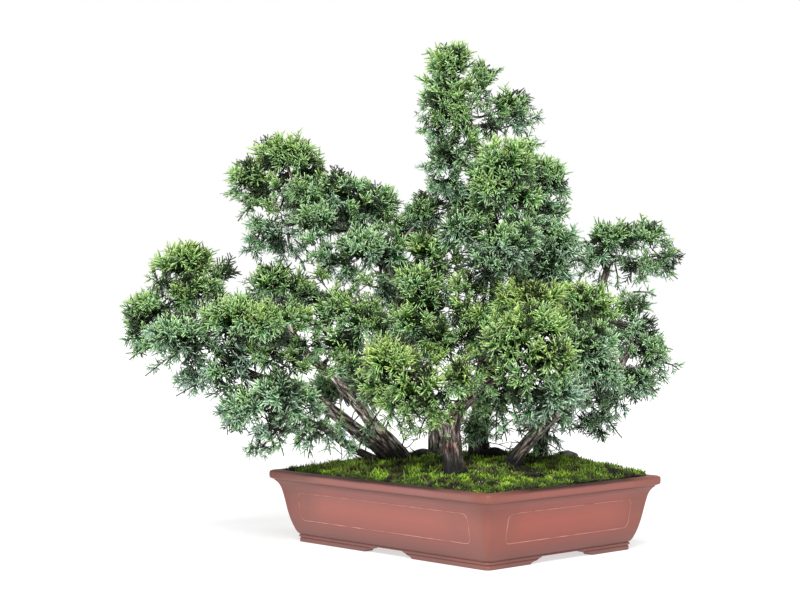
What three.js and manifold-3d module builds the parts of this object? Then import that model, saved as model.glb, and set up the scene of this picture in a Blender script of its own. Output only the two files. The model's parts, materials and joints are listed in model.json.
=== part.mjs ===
// A clump of old juniper trunks in a rectangular, unglazed red clay pot on four corner feet.
// Moss covers the mounded soil. Scale-leaved foliage grows in clipped pads at the ends of the limbs.
// Millimetres, +Z up. The pot's long side runs along X and its short side along Y.
// The tree stands turned in its pot, so its own left and right run along the pot's diagonal.

import * as THREE from 'three';
import { mergeVertices } from 'three/addons/utils/BufferGeometryUtils.js';
import Module from 'manifold-3d';

const wasm = await Module();
wasm.setup();

// Pot
const POT_LENGTH = 400;
const POT_WIDTH = 316;
const POT_HEIGHT = 93;
const POT_CORNER_RADIUS = 7;
const FLOOR_UNDERSIDE = 8;
const FLOOR_TOP = 16;
const FOOT_WIDTH = 14;
const LONG_ARCH = { foot: 43, top: 27 };
const SHORT_ARCH = { foot: 56, top: 37 };
const DRAIN_HOLE_RADIUS = 13;
const DRAIN_HOLE_SPACING = 190;
const SCREEN_SIDE = 38;
const SCREEN_THICKNESS = 1.2;
const SCREEN_HOLES_A_SIDE = 2;
const SCREEN_HOLE = 11;

// Outline of the wall, as how far it stands in from the lip's outer edge and its height.
const OUTER_PROFILE = [
  [28.6, 0], [28, 4.6], [29.4, 5.6], [27.4, 6.6], [27.4, 8.8], [28.8, 9.8], [26.6, 11.2],
  [22.5, 22], [19, 36], [16.5, 50], [14, 64], [11.5, 73], [7, 79], [1, 83], [0, 85], [0, 91], [2, 93],
];
const INNER_PROFILE = [
  [12.5, 93], [15, 88], [22, 68], [31, 36], [37, 16],
];

// Soil, moss and stones
const GAP = 0.3;
const SOIL_EDGE_HEIGHT = 84;
const SOIL_RISE = 22;
const CORNER_RISE = { x: 140, y: 105, reach: 75, height: 9 };
const MOSS_THICKNESS = 7;
const MOSS_BUMP = 1.7;
const SOIL_COLUMNS = 8;
const SOIL_ROWS = 6;
const MOSS_COLUMNS = 12;
const MOSS_ROWS = 10;
const HIGHEST_GROUND = 122;
const STONE_ROUGHNESS = 0.12;

// Tree
const TREE_TURN = THREE.MathUtils.degToRad(46.8);
const WOOD_CLEARANCE = 0.5;
const HOLE_SLACK = 1.25;
const PAD_CLEARANCE = 0.7;
const SHOOT_RADIUS = 1.5;
const SHOOT_SPACING = 3.2;
const SHOOT_LEAN = 7;
const SHOOT_SHARE = 0.22;
const SHORTEST_SHOOT = 0.98;
const LONGEST_SHOOT = 1.16;
const CORE_DEPTH = 8;
const SMALLEST_CORE = 7;
const CORE_SWELL = 1.06;
const THINNEST_STEM = 4.5;
const CORE_ROUGHNESS = 0.16;
const LARGE_LOBE = 27;

// ---------------------------------------------------------------------------------------------
// Solids

// A seeded random number from 0 to 1, the same in every run.
function seededRandom(seed) {
  let state = seed;
  return () => {
    state = (state * 1664525 + 1013904223) % 4294967296;
    return state / 4294967296;
  };
}

function toSolid(geometry) {
  const bare = geometry.clone();
  bare.deleteAttribute('normal');
  bare.deleteAttribute('uv');
  const merged = mergeVertices(bare, 1e-4);
  return new wasm.Manifold(new wasm.Mesh({
    numProp: 3,
    vertProperties: new Float32Array(merged.attributes.position.array),
    triVerts: new Uint32Array(merged.index.array),
  }));
}

function toGeometry(solid) {
  const mesh = solid.getMesh();
  const geometry = new THREE.BufferGeometry();
  geometry.setAttribute('position', new THREE.BufferAttribute(new Float32Array(mesh.vertProperties), 3));
  geometry.setIndex(new THREE.BufferAttribute(new Uint32Array(mesh.triVerts), 1));
  geometry.computeVertexNormals();
  return geometry;
}

function indexed(points, triangles) {
  const geometry = new THREE.BufferGeometry();
  geometry.setFromPoints(points);
  geometry.setIndex(triangles);
  return geometry;
}

function joined(solids) {
  return solids.reduce((sum, solid) => sum.add(solid));
}

// Cutting can leave crumbs, so only the largest body is kept.
function largestBody(solid) {
  const bodies = solid.decompose();
  let largest = bodies[0];
  for (const body of bodies) {
    if (body.volume() > largest.volume()) {
      largest = body;
    }
  }
  return largest;
}

// Joins rings with the same number of points into one closed skin, with a flat fan at each end.
function skin(rings) {
  const sides = rings[0].length;
  const points = rings.flat();
  const triangles = [];
  for (let ring = 0; ring + 1 < rings.length; ring += 1) {
    for (let side = 0; side < sides; side += 1) {
      const next = (side + 1) % sides;
      const low = ring * sides;
      const high = low + sides;
      triangles.push(low + side, low + next, high + next);
      triangles.push(low + side, high + next, high + side);
    }
  }
  const lastRing = (rings.length - 1) * sides;
  for (let side = 1; side + 1 < sides; side += 1) {
    triangles.push(0, side + 1, side);
    triangles.push(lastRing, lastRing + side, lastRing + side + 1);
  }
  return indexed(points, triangles);
}

// ---------------------------------------------------------------------------------------------
// Pot

// A rounded rectangle that stands in from the lip's outer edge all round.
function potRing(inset, height) {
  const cornerSteps = 2;
  const halfLength = POT_LENGTH / 2 - inset - POT_CORNER_RADIUS;
  const halfWidth = POT_WIDTH / 2 - inset - POT_CORNER_RADIUS;
  const corners = [[1, 1], [-1, 1], [-1, -1], [1, -1]];
  const ring = [];
  corners.forEach(([signX, signY], quarter) => {
    for (let step = 0; step <= cornerSteps; step += 1) {
      const angle = (quarter + step / cornerSteps) * Math.PI / 2;
      const x = signX * halfLength + POT_CORNER_RADIUS * Math.cos(angle);
      const y = signY * halfWidth + POT_CORNER_RADIUS * Math.sin(angle);
      ring.push(new THREE.Vector3(x, y, height));
    }
  });
  return ring;
}

// The gap between two corner feet, through the whole pot along Y, with a small scroll at each end.
function footArch({ foot, top }) {
  const half = [[foot, -1], [foot, 0], [foot - 2, 2.6], [top + 7, 4], [top + 3, 6.2], [top, FLOOR_UNDERSIDE]];
  const left = half.map(([x, z]) => new THREE.Vector2(-x, z)).reverse();
  const right = half.map(([x, z]) => new THREE.Vector2(x, z));
  const arch = new THREE.ExtrudeGeometry(new THREE.Shape([...right, ...left]), {
    depth: POT_LENGTH + 20,
    bevelEnabled: false,
  });
  arch.rotateX(Math.PI / 2);
  arch.translate(0, POT_LENGTH / 2 + 10, 0);
  return arch;
}

function drainCentres() {
  return [-DRAIN_HOLE_SPACING / 2, DRAIN_HOLE_SPACING / 2];
}

function buildPot() {
  const profile = [...OUTER_PROFILE, ...INNER_PROFILE];
  let pot = toSolid(skin(profile.map(([inset, height]) => potRing(inset, height))));
  const baseInset = OUTER_PROFILE[0][0];
  const hollow = new THREE.BoxGeometry(
    POT_LENGTH - 2 * (baseInset + FOOT_WIDTH),
    POT_WIDTH - 2 * (baseInset + FOOT_WIDTH),
    2 * FLOOR_UNDERSIDE,
  );
  pot = pot.subtract(toSolid(hollow));
  pot = pot.subtract(toSolid(footArch(LONG_ARCH)));
  pot = pot.subtract(toSolid(footArch(SHORT_ARCH).rotateZ(Math.PI / 2)));
  for (const x of drainCentres()) {
    const hole = new THREE.CylinderGeometry(DRAIN_HOLE_RADIUS, DRAIN_HOLE_RADIUS, 3 * FLOOR_TOP, 16);
    hole.rotateX(Math.PI / 2);
    hole.translate(x, 0, FLOOR_TOP);
    pot = pot.subtract(toSolid(hole));
  }
  return pot;
}

// A square of plastic mesh over each drain hole keeps the soil in.
function buildDrainScreen(x) {
  const plate = new THREE.BoxGeometry(SCREEN_SIDE, SCREEN_SIDE, SCREEN_THICKNESS);
  plate.translate(x, 0, FLOOR_TOP + GAP + SCREEN_THICKNESS / 2);
  let screen = toSolid(plate);
  const pitch = SCREEN_SIDE / (SCREEN_HOLES_A_SIDE + 0.5);
  for (let row = 0; row < SCREEN_HOLES_A_SIDE; row += 1) {
    for (let column = 0; column < SCREEN_HOLES_A_SIDE; column += 1) {
      const middle = (SCREEN_HOLES_A_SIDE - 1) / 2;
      const hole = new THREE.BoxGeometry(SCREEN_HOLE, SCREEN_HOLE, 4 * SCREEN_THICKNESS);
      hole.translate(x + (column - middle) * pitch, (row - middle) * pitch, FLOOR_TOP + SCREEN_THICKNESS);
      screen = screen.subtract(toSolid(hole));
    }
  }
  return screen;
}

// ---------------------------------------------------------------------------------------------
// Soil, moss and stones

// The soil stands in a low mound, lowest along the pot's wall, with a second, smaller rise near a corner.
function moundRise(x, y) {
  const alongLength = Math.max(0, 1 - (Math.abs(x) / 192) ** 2.4);
  const alongWidth = Math.max(0, 1 - (Math.abs(y) / 150) ** 2.4);
  const fromCorner = Math.hypot(x - CORNER_RISE.x, y - CORNER_RISE.y);
  const corner = CORNER_RISE.height * Math.max(0, 1 - fromCorner / CORNER_RISE.reach);
  return SOIL_RISE * alongLength * alongWidth + corner;
}

function soilSurface(x, y) {
  return SOIL_EDGE_HEIGHT + moundRise(x, y);
}

// Moss grows in low cushions.
function mossSurface(x, y) {
  const cushions = Math.sin(x / 11 + 1.3 * Math.sin(y / 17)) * Math.sin(y / 12 + 1.1 * Math.sin(x / 19));
  return soilSurface(x, y) + MOSS_THICKNESS + MOSS_BUMP * cushions;
}

// Everything under a surface, down to a flat underside.
function groundUnder(surface, columns, rows, underside) {
  const points = [];
  const triangles = [];
  const at = (column, row) => row * (columns + 1) + column;
  for (let row = 0; row <= rows; row += 1) {
    for (let column = 0; column <= columns; column += 1) {
      const x = POT_LENGTH * (column / columns - 0.5);
      const y = POT_WIDTH * (row / rows - 0.5);
      points.push(new THREE.Vector3(x, y, surface(x, y)));
    }
  }
  for (let row = 0; row < rows; row += 1) {
    for (let column = 0; column < columns; column += 1) {
      triangles.push(at(column, row), at(column + 1, row), at(column + 1, row + 1));
      triangles.push(at(column, row), at(column + 1, row + 1), at(column, row + 1));
    }
  }
  const border = [];
  for (let column = 0; column < columns; column += 1) {
    border.push(at(column, 0));
  }
  for (let row = 0; row < rows; row += 1) {
    border.push(at(columns, row));
  }
  for (let column = columns; column > 0; column -= 1) {
    border.push(at(column, rows));
  }
  for (let row = rows; row > 0; row -= 1) {
    border.push(at(0, row));
  }
  const firstFoot = points.length;
  for (const index of border) {
    points.push(points[index].clone().setZ(underside));
  }
  const centre = points.length;
  points.push(new THREE.Vector3(0, 0, underside));
  border.forEach((top, place) => {
    const next = (place + 1) % border.length;
    triangles.push(top, firstFoot + place, firstFoot + next);
    triangles.push(top, firstFoot + next, border[next]);
    triangles.push(centre, firstFoot + next, firstFoot + place);
  });
  return toSolid(indexed(points, triangles));
}

// The room inside the pot, a gap's width clear of its wall and floor, and open upwards.
function potRoom() {
  const inside = [...INNER_PROFILE].reverse();
  const rings = inside.map(([inset, height], place) => {
    const clearOfFloor = place === 0 ? height + GAP : height;
    return potRing(inset + 2 * GAP, clearOfFloor);
  });
  const lipInset = INNER_PROFILE[0][0];
  rings.push(potRing(lipInset + 2 * GAP, POT_HEIGHT + 60));
  return toSolid(skin(rings));
}

function screenRoom(x) {
  const side = SCREEN_SIDE + 2 * GAP;
  const room = new THREE.BoxGeometry(side, side, SCREEN_THICKNESS + 3 * GAP);
  room.translate(x, 0, FLOOR_TOP + SCREEN_THICKNESS / 2 + GAP);
  return toSolid(room);
}

function buildSoil() {
  let soil = groundUnder(soilSurface, SOIL_COLUMNS, SOIL_ROWS, 0).intersect(potRoom());
  for (const x of drainCentres()) {
    soil = soil.subtract(screenRoom(x));
  }
  return soil;
}

function buildMoss() {
  const raisedSoil = groundUnder((x, y) => soilSurface(x, y) + GAP, SOIL_COLUMNS, SOIL_ROWS, 0);
  return groundUnder(mossSurface, MOSS_COLUMNS, MOSS_ROWS, 40).intersect(potRoom()).subtract(raisedSoil);
}

// A stone or a worn patch: a 20-sided ball, squashed and pushed in and out by a sum of waves.
function stoneLump(centre, half, grow) {
  const ball = new THREE.IcosahedronGeometry(1, 0);
  const corners = ball.attributes.position;
  const direction = new THREE.Vector3();
  for (let index = 0; index < corners.count; index += 1) {
    direction.fromBufferAttribute(corners, index);
    const wave = Math.sin(5.1 * direction.x + centre[0]) + Math.sin(4.3 * direction.y + centre[1]);
    const reach = 1 + STONE_ROUGHNESS * wave;
    corners.setXYZ(
      index,
      centre[0] + direction.x * (half[0] * reach + grow),
      centre[1] + direction.y * (half[1] * reach + grow),
      centre[2] + direction.z * (half[2] * reach + grow),
    );
  }
  return toSolid(ball);
}

// Places in the tree's own frame, and half sizes.
const STONES = {
  stone_grey: { centre: [138, 20, 109], half: [15, 12, 13], color: 0x8b8a84 },
  stone_dark: { centre: [-40, -143, 93], half: [13, 9, 7], color: 0x35332f },
  stone_chip: { centre: [196, -35, 97], half: [8, 7, 6], color: 0x9a958a },
};

// Where the moss has worn away to bare soil.
const BARE_PATCHES = [
  { centre: [76, -112, 100], half: [34, 20, 16] },
  { centre: [24, -172, 95], half: [24, 13, 12] },
];

// ---------------------------------------------------------------------------------------------
// Wood

const TRUNK_SIDES = 6;
const LIMB_SIDES = 5;
const TWIG_SIDES = 4;
const BRANCH_SIDES = 3;
const HOLE_SIDES = 5;
const TRUNK_FLUTE = 0.12;
const BRANCH_TRIES = 40;
const FIRST_BRANCH_SHARE = 0.15;
const BRANCH_RISE = 22;
const BRANCH_SAG = 0.09;
const BRANCH_BASE_RADIUS = 2.2;
const BRANCH_LENGTH_A_MM = 45;
const BRANCH_TIP_RADIUS = 1.8;

// Each trunk and limb is a line of [x, y, z, radius] in the tree's own frame: x to its right, y away
// from its front. Trunks start below the soil. Limbs start inside the trunk that they grow from.
const TRUNKS = {
  trunk_left: {
    lines: [
      [[-84, 6, 62, 13], [-86, 6, 98, 12.5], [-99, 5, 119, 10], [-128, 0, 142, 8.6], [-156, -5, 164, 8.4],
        [-184, -10, 187, 8.2], [-219, -15, 206, 8.5], [-254, -20, 213, 7], [-285, -20, 228, 6],
        [-313, -22, 252, 5], [-340, -12, 284, 4], [-352, -4, 330, 2.5]],
      [[-76, 0, 80, 11], [-72, -2, 106, 10.5], [-85, -6, 129, 9.4], [-104, -12, 156, 8.8],
        [-122, -14, 185, 8.6], [-140, -14, 205, 7.6], [-168, -12, 222, 6.4], [-194, -8, 242, 5.4],
        [-216, 4, 272, 4.2], [-230, 18, 306, 3]],
      [[-106, 4, 126, 5], [-138, 14, 134, 4.6], [-170, 12, 148, 4.2], [-200, -10, 162, 3.4],
        [-222, -38, 172, 2.4]],
    ],
  },
  trunk_rear_left: {
    lines: [
      [[-31, 26, 62, 13], [-31, 26, 98, 12], [-31, 25, 133, 10], [-38, 22, 172, 9], [-53, 18, 217, 8.5],
        [-68, 16, 263, 7.5], [-80, 18, 314, 6.5], [-96, 26, 356, 6], [-128, 34, 388, 5.4],
        [-164, 40, 420, 4.6], [-200, 48, 448, 3.8], [-224, 56, 480, 2.6]],
    ],
  },
  trunk_front: {
    lines: [
      [[-12, -130, 62, 13], [-12, -130, 94, 12.5], [-15, -130, 126, 11], [-17, -128, 156, 10],
        [-10, -124, 180, 9], [8, -119, 198, 7.6], [30, -120, 216, 6.2], [52, -126, 236, 4.8],
        [62, -132, 254, 3]],
      [[-16, -129, 158, 7], [-30, -128, 174, 5.6], [-44, -127, 190, 4.2], [-60, -126, 206, 3.2],
        [-76, -124, 224, 2.4]],
    ],
  },
  trunk_rear: {
    lines: [
      [[22, -4, 62, 15], [22, -4, 98, 14], [21, -2, 133, 12.5], [24, -4, 174, 11.5], [30, -8, 222, 11],
        [38, -10, 276, 9.5], [44, -8, 327, 8.5], [45, -4, 378, 7.5], [38, 0, 423, 6.6], [28, 4, 474, 5.6],
        [16, 7, 522, 4.6], [1, 11, 565, 3.6], [-12, 16, 606, 2.4]],
      [[28, -6, 114, 7], [42, -20, 121, 6], [60, -31, 112, 5], [76, -39, 94, 3.5]],
    ],
  },
  trunk_right_leaning: {
    lines: [
      [[44, -82, 62, 11], [50, -82, 96, 10], [66, -81, 122, 8.2], [90, -76, 150, 7.4], [120, -68, 176, 7],
        [152, -56, 197, 6.6], [186, -42, 218, 5], [208, -30, 246, 3.8], [216, -18, 280, 2.6]],
    ],
  },
  trunk_right_upright: {
    lines: [
      [[103, 20, 62, 11], [103, 20, 97, 10], [103, 21, 133, 9.4], [112, 26, 171, 8.6],
        [132, 36, 216, 7.6], [158, 52, 268, 6.4], [180, 68, 314, 5.4], [192, 80, 344, 4.6],
        [200, 88, 372, 3.2]],
    ],
  },
};

// The leafy pads. Each lobe is [x, y, z, half width, half height] of the foliage's outer form, in the
// tree's own frame. A pad's branch leaves its trunk's nearest point and ends in the pad's first lobe.
const PADS = {
  apex: {
    wood: 'trunk_rear', tint: 0x5c8a3a,
    lobes: [[-15, 18, 575, 36, 30], [-20, 20, 617, 32, 28], [20, 10, 596, 23, 20], [-8, 12, 547, 32, 20],
      [34, 20, 552, 20, 20]],
  },
  apex_tuft: {
    wood: 'trunk_rear', tint: 0x4f7d36,
    lobes: [[64, 40, 560, 27, 24], [84, 45, 547, 17, 16]],
  },
  shoulder_left: {
    wood: 'trunk_rear', tint: 0x62924a,
    lobes: [[-16, 4, 500, 30, 21], [-14, 12, 466, 28, 22], [8, -4, 520, 20, 16], [-24, 8, 526, 24, 16]],
  },
  shoulder_front: {
    wood: 'trunk_rear', tint: 0x57883a,
    lobes: [[54, -30, 485, 45, 31], [34, -42, 450, 33, 25], [66, -26, 442, 36, 24]],
  },
  shoulder_right: {
    wood: 'trunk_rear', tint: 0x4c7c40,
    lobes: [[114, 22, 468, 28, 30], [106, 32, 430, 30, 22]],
  },
  shoulder_back: {
    wood: 'trunk_rear', tint: 0x557f3c,
    lobes: [[44, 62, 470, 38, 30], [10, 74, 440, 34, 24]],
  },
  waist_front: {
    wood: 'trunk_rear', tint: 0x6a9470,
    lobes: [[56, -52, 382, 42, 30], [30, -62, 358, 27, 20], [2, -32, 402, 34, 25]],
  },
  waist_right: {
    wood: 'trunk_rear', tint: 0x5a8763,
    lobes: [[120, 12, 384, 33, 28], [114, 18, 347, 36, 22]],
  },
  waist_back: {
    wood: 'trunk_rear', tint: 0x4f7a48,
    lobes: [[58, 90, 382, 40, 30], [90, 104, 350, 36, 26]],
  },
  right_head: {
    wood: 'trunk_right_upright', tint: 0x55703a,
    lobes: [[200, 90, 390, 32, 28], [236, 96, 396, 31, 21], [264, 84, 372, 22, 22],
      [176, 84, 366, 21, 21], [238, 90, 362, 26, 15]],
  },
  right_back: {
    wood: 'trunk_right_upright', tint: 0x4b7245,
    lobes: [[150, 118, 300, 38, 30], [182, 108, 268, 33, 25]],
  },
  crown_top: {
    wood: 'trunk_front', tint: 0x7ba83c,
    lobes: [[90, -96, 316, 36, 21], [60, -90, 318, 26, 20]],
  },
  crown_top_right: {
    wood: 'trunk_right_leaning', tint: 0x76a23e,
    lobes: [[146, -40, 314, 36, 22], [174, -30, 300, 24, 20]],
  },
  crown_front: {
    wood: 'trunk_front', tint: 0x6fa03a,
    lobes: [[84, -140, 284, 43, 26], [50, -142, 260, 36, 29], [94, -150, 244, 43, 28],
      [66, -148, 218, 30, 21], [28, -138, 214, 18, 16], [20, -104, 240, 18, 18]],
  },
  crown_right: {
    wood: 'trunk_right_leaning', tint: 0x66975a,
    lobes: [[150, -92, 255, 39, 32], [166, -84, 224, 32, 22]],
  },
  crown_far_right: {
    wood: 'trunk_right_leaning', tint: 0x5f8c66,
    lobes: [[214, -14, 282, 28, 28], [230, -20, 254, 28, 25], [216, 0, 312, 20, 15],
      [242, -22, 238, 20, 16]],
  },
  skirt_front: {
    wood: 'trunk_right_leaning', tint: 0x6c9a6c,
    lobes: [[104, -132, 198, 41, 24], [74, -132, 180, 24, 18]],
  },
  skirt_right: {
    wood: 'trunk_right_leaning', tint: 0x5d8a58,
    lobes: [[214, -22, 208, 34, 21], [190, -10, 184, 27, 18], [176, 4, 158, 22, 17]],
  },
  skirt_inner: {
    wood: 'trunk_rear', tint: 0x3f6a35,
    lobes: [[47, -58, 194, 21, 32], [24, -62, 160, 20, 20], [30, -66, 190, 20, 24]],
  },
  skirt_middle: {
    wood: 'trunk_right_leaning', tint: 0x5d8663,
    lobes: [[110, -48, 164, 28, 17], [106, -30, 146, 20, 12]],
  },
  spur_front: {
    wood: 'trunk_rear', tint: 0x67973a,
    lobes: [[10, -72, 295, 31, 23], [0, -72, 264, 25, 19], [2, -54, 328, 25, 20], [30, -50, 326, 20, 18]],
  },
  inner_back: {
    wood: 'trunk_rear', tint: 0x4a7440,
    lobes: [[52, 74, 288, 40, 29], [46, 90, 250, 38, 26]],
  },
  centre_dome: {
    wood: 'trunk_rear_left', tint: 0x4a7a38,
    lobes: [[-46, 62, 428, 28, 24], [-62, 96, 404, 32, 24]],
  },
  centre_top: {
    wood: 'trunk_rear_left', tint: 0x5b8336,
    lobes: [[-42, 4, 376, 38, 22], [-18, -8, 356, 22, 19]],
  },
  centre_middle: {
    wood: 'trunk_rear_left', tint: 0x547f35,
    lobes: [[-56, -28, 333, 36, 28], [-36, -36, 308, 30, 24], [-66, -56, 284, 30, 27],
      [-32, -64, 262, 30, 26], [-104, -60, 270, 22, 18]],
  },
  centre_back: {
    wood: 'trunk_rear_left', tint: 0x4d7740,
    lobes: [[-70, 90, 326, 40, 30], [-60, 102, 288, 38, 26]],
  },
  front_bright: {
    wood: 'trunk_front', tint: 0x7ab23c,
    lobes: [[-92, -122, 240, 35, 28], [-66, -130, 206, 37, 24], [-32, -134, 210, 26, 20],
      [-6, -146, 220, 25, 25], [-98, -118, 212, 28, 26], [-34, -136, 182, 24, 16],
      [-44, -110, 238, 20, 18], [-74, -126, 182, 30, 13]],
  },
  upper_left_dome: {
    wood: 'trunk_rear_left', tint: 0x6b9a3f,
    lobes: [[-228, 60, 504, 41, 26], [-206, 54, 480, 32, 22], [-274, 60, 470, 32, 26],
      [-240, 40, 458, 22, 20], [-268, 56, 442, 24, 18]],
  },
  upper_left_under: {
    wood: 'trunk_rear_left', tint: 0x55854a,
    lobes: [[-255, 43, 408, 24, 28], [-232, 38, 403, 22, 20], [-262, 43, 384, 18, 16],
      [-222, 30, 380, 20, 14]],
  },
  upper_left_middle: {
    wood: 'trunk_rear_left', tint: 0x4e8246,
    lobes: [[-186, 14, 412, 36, 26], [-194, 22, 448, 34, 23], [-160, 26, 452, 32, 23]],
  },
  upper_left_near: {
    wood: 'trunk_rear_left', tint: 0x558645,
    lobes: [[-112, 38, 438, 34, 26], [-140, 24, 424, 28, 24], [-138, 28, 458, 24, 18]],
  },
  upper_left_inner: {
    wood: 'trunk_rear_left', tint: 0x4d7b4c,
    lobes: [[-126, -4, 377, 37, 26], [-88, 6, 372, 31, 26], [-101, 0, 332, 18, 23],
      [-166, 4, 364, 24, 24], [-134, -2, 346, 22, 20]],
  },
  upper_left_back: {
    wood: 'trunk_rear_left', tint: 0x4c7a43,
    lobes: [[-172, 100, 430, 40, 29], [-206, 104, 452, 33, 25]],
  },
  left_top: {
    wood: 'trunk_left', tint: 0x6c9e3e,
    lobes: [[-354, 0, 358, 37, 29], [-334, -8, 326, 30, 21], [-318, 0, 340, 22, 22],
      [-386, 0, 338, 20, 18]],
  },
  left_tip: {
    wood: 'trunk_left', tint: 0x66953e,
    lobes: [[-400, 0, 300, 32, 26], [-378, 2, 316, 22, 18], [-408, -10, 272, 24, 18]],
  },
  left_front: {
    wood: 'trunk_left', tint: 0x6a9a5c,
    lobes: [[-358, -42, 270, 40, 25], [-334, -42, 250, 31, 17]],
  },
  left_middle: {
    wood: 'trunk_left', tint: 0x69a046,
    lobes: [[-244, -62, 282, 34, 25], [-214, -54, 290, 29, 22], [-290, -50, 291, 40, 28],
      [-198, -44, 254, 22, 18], [-246, -56, 240, 28, 18]],
  },
  left_saddle: {
    wood: 'trunk_left', tint: 0x5f9348,
    lobes: [[-238, 30, 334, 37, 23], [-208, 30, 320, 27, 21]],
  },
  left_under: {
    wood: 'trunk_left', tint: 0x4a7650,
    lobes: [[-282, -30, 252, 34, 17], [-342, -24, 214, 26, 14], [-224, -36, 246, 25, 15],
      [-306, -38, 224, 34, 18]],
  },
  left_low: {
    wood: 'trunk_left', tint: 0x5a9468,
    lobes: [[-226, -60, 195, 40, 27], [-268, -46, 180, 34, 26], [-242, -44, 148, 26, 15],
      [-252, -46, 130, 18, 10], [-214, -56, 166, 20, 12], [-206, -54, 184, 26, 16]],
  },
  left_inner: {
    wood: 'trunk_left', tint: 0x578a40,
    lobes: [[-158, -24, 260, 33, 24], [-154, -24, 302, 32, 24], [-182, -22, 282, 26, 20],
      [-118, -22, 294, 24, 25], [-142, -50, 233, 24, 20], [-112, -70, 204, 26, 24],
      [-136, -40, 286, 26, 22]],
  },
  left_back: {
    wood: 'trunk_left', tint: 0x4b7846,
    lobes: [[-290, 64, 294, 40, 29], [-256, 84, 276, 36, 26]],
  },
  left_back_low: {
    wood: 'trunk_left', tint: 0x44703e,
    lobes: [[-166, 66, 198, 38, 26]],
  },
  trunk_spray: {
    wood: 'trunk_left', tint: 0x4a7a3c,
    lobes: [[-186, -52, 156, 28, 14], [-158, -54, 152, 18, 14]],
  },
};

function smoothLine(line) {
  const points = line.map(([x, y, z]) => new THREE.Vector3(x, y, z));
  return new THREE.CatmullRomCurve3(points, false, 'centripetal');
}

// A tapered, closed tube along a smooth line. A trunk's section is fluted, and its seams wander round it.
function limb(line, sides, grow = 0, flute = 0) {
  const curve = smoothLine(line);
  const steps = line.length - 1;
  const frames = curve.computeFrenetFrames(steps, false);
  const rings = [];
  for (let step = 0; step <= steps; step += 1) {
    const along = step / steps;
    const centre = curve.getPoint(along);
    const radius = line[step][3];
    const ring = [];
    for (let side = 0; side < sides; side += 1) {
      const angle = 2 * Math.PI * side / sides;
      const ridge = Math.sin(3 * angle + 5 * along) * Math.cos(2 * angle - 9 * along);
      const reach = radius * (1 + flute * ridge) + grow;
      const point = centre.clone();
      point.addScaledVector(frames.normals[step], reach * Math.cos(angle));
      point.addScaledVector(frames.binormals[step], reach * Math.sin(angle));
      ring.push(point);
    }
    rings.push(ring);
  }
  const ends = [[0, -1], [steps, 1]];
  for (const [step, way] of ends) {
    for (const point of rings[step]) {
      point.addScaledVector(frames.tangents[step], way * grow);
    }
  }
  return toSolid(skin(rings));
}

// The point of a trunk or limb that a pad's branch leaves from: near the pad, and rather below it.
function branchStart(lines, target) {
  let best = null;
  let leastCost = Infinity;
  for (const line of lines) {
    const curve = smoothLine(line);
    for (let index = Math.round(BRANCH_TRIES * FIRST_BRANCH_SHARE); index <= BRANCH_TRIES; index += 1) {
      const point = curve.getPoint(index / BRANCH_TRIES);
      const cost = point.distanceTo(target) + Math.max(0, point.z - target.z + BRANCH_RISE);
      if (cost < leastCost) {
        leastCost = cost;
        best = point;
      }
    }
  }
  return best;
}

// A branch bends up on its way out to the middle of the pad that it carries.
function branchLine(lines, target) {
  const start = branchStart(lines, target);
  const span = start.distanceTo(target);
  const thick = BRANCH_BASE_RADIUS + span / BRANCH_LENGTH_A_MM;
  const bend = start.clone().lerp(target, 0.5);
  bend.z -= span * BRANCH_SAG;
  return [
    [...start.toArray(), thick],
    [...bend.toArray(), thick * 0.8],
    [...target.toArray(), BRANCH_TIP_RADIUS],
  ];
}

// Every line of wood of one trunk: itself, its limbs and the branches to its pads.
function woodLines(name) {
  const { lines } = TRUNKS[name];
  const all = lines.map((line, place) => {
    const sides = place === 0 ? TRUNK_SIDES : LIMB_SIDES;
    return { line, sides, flute: TRUNK_FLUTE };
  });
  for (const pad of Object.values(PADS)) {
    if (pad.wood === name) {
      const target = new THREE.Vector3(...pad.lobes[0].slice(0, 3));
      all.push({ line: branchLine(lines, target), sides: BRANCH_SIDES, flute: 0 });
    }
  }
  return all;
}

function buildWood(name, grow = 0) {
  return joined(woodLines(name).map(({ line, sides, flute }) => limb(line, sides, grow, flute)));
}

// The plain hole in the ground that a trunk, and a root of it that shows, stand in.
function groundHole(name) {
  const plugs = [];
  for (const line of TRUNKS[name].lines) {
    if (line[0][2] < HIGHEST_GROUND) {
      const end = line.findIndex(([, , z]) => z > HIGHEST_GROUND);
      const low = end < 0 ? line : line.slice(0, end + 1);
      const wider = low.map(([x, y, z, radius]) => [x, y, z, radius * HOLE_SLACK]);
      plugs.push(limb(wider, HOLE_SIDES, WOOD_CLEARANCE));
    }
  }
  return joined(plugs);
}

// ---------------------------------------------------------------------------------------------
// Foliage

function boxesMeet(first, second) {
  const a = first.boundingBox();
  const b = second.boundingBox();
  return [0, 1, 2].every((axis) => a.min[axis] < b.max[axis] && b.min[axis] < a.max[axis]);
}

function cutClear(solid, others) {
  let rest = solid;
  for (const other of others) {
    if (boxesMeet(rest, other)) {
      rest = rest.subtract(other);
    }
  }
  return rest;
}

function lobeCentre([x, y, z]) {
  return new THREE.Vector3(x, y, z);
}

// The outer form of a lobe's foliage, and the dense inside which its shoots stand out of.
function outerRadii([, , , halfWidth, halfHeight]) {
  return new THREE.Vector3(halfWidth, halfWidth * 0.94, halfHeight);
}

function coreRadii([, , , halfWidth, halfHeight]) {
  const across = Math.max(SMALLEST_CORE, CORE_SWELL * (halfWidth - CORE_DEPTH));
  const up = Math.max(SMALLEST_CORE * 0.8, CORE_SWELL * (halfHeight - CORE_DEPTH * 0.8));
  return new THREE.Vector3(across, across * 0.94, up);
}

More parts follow.
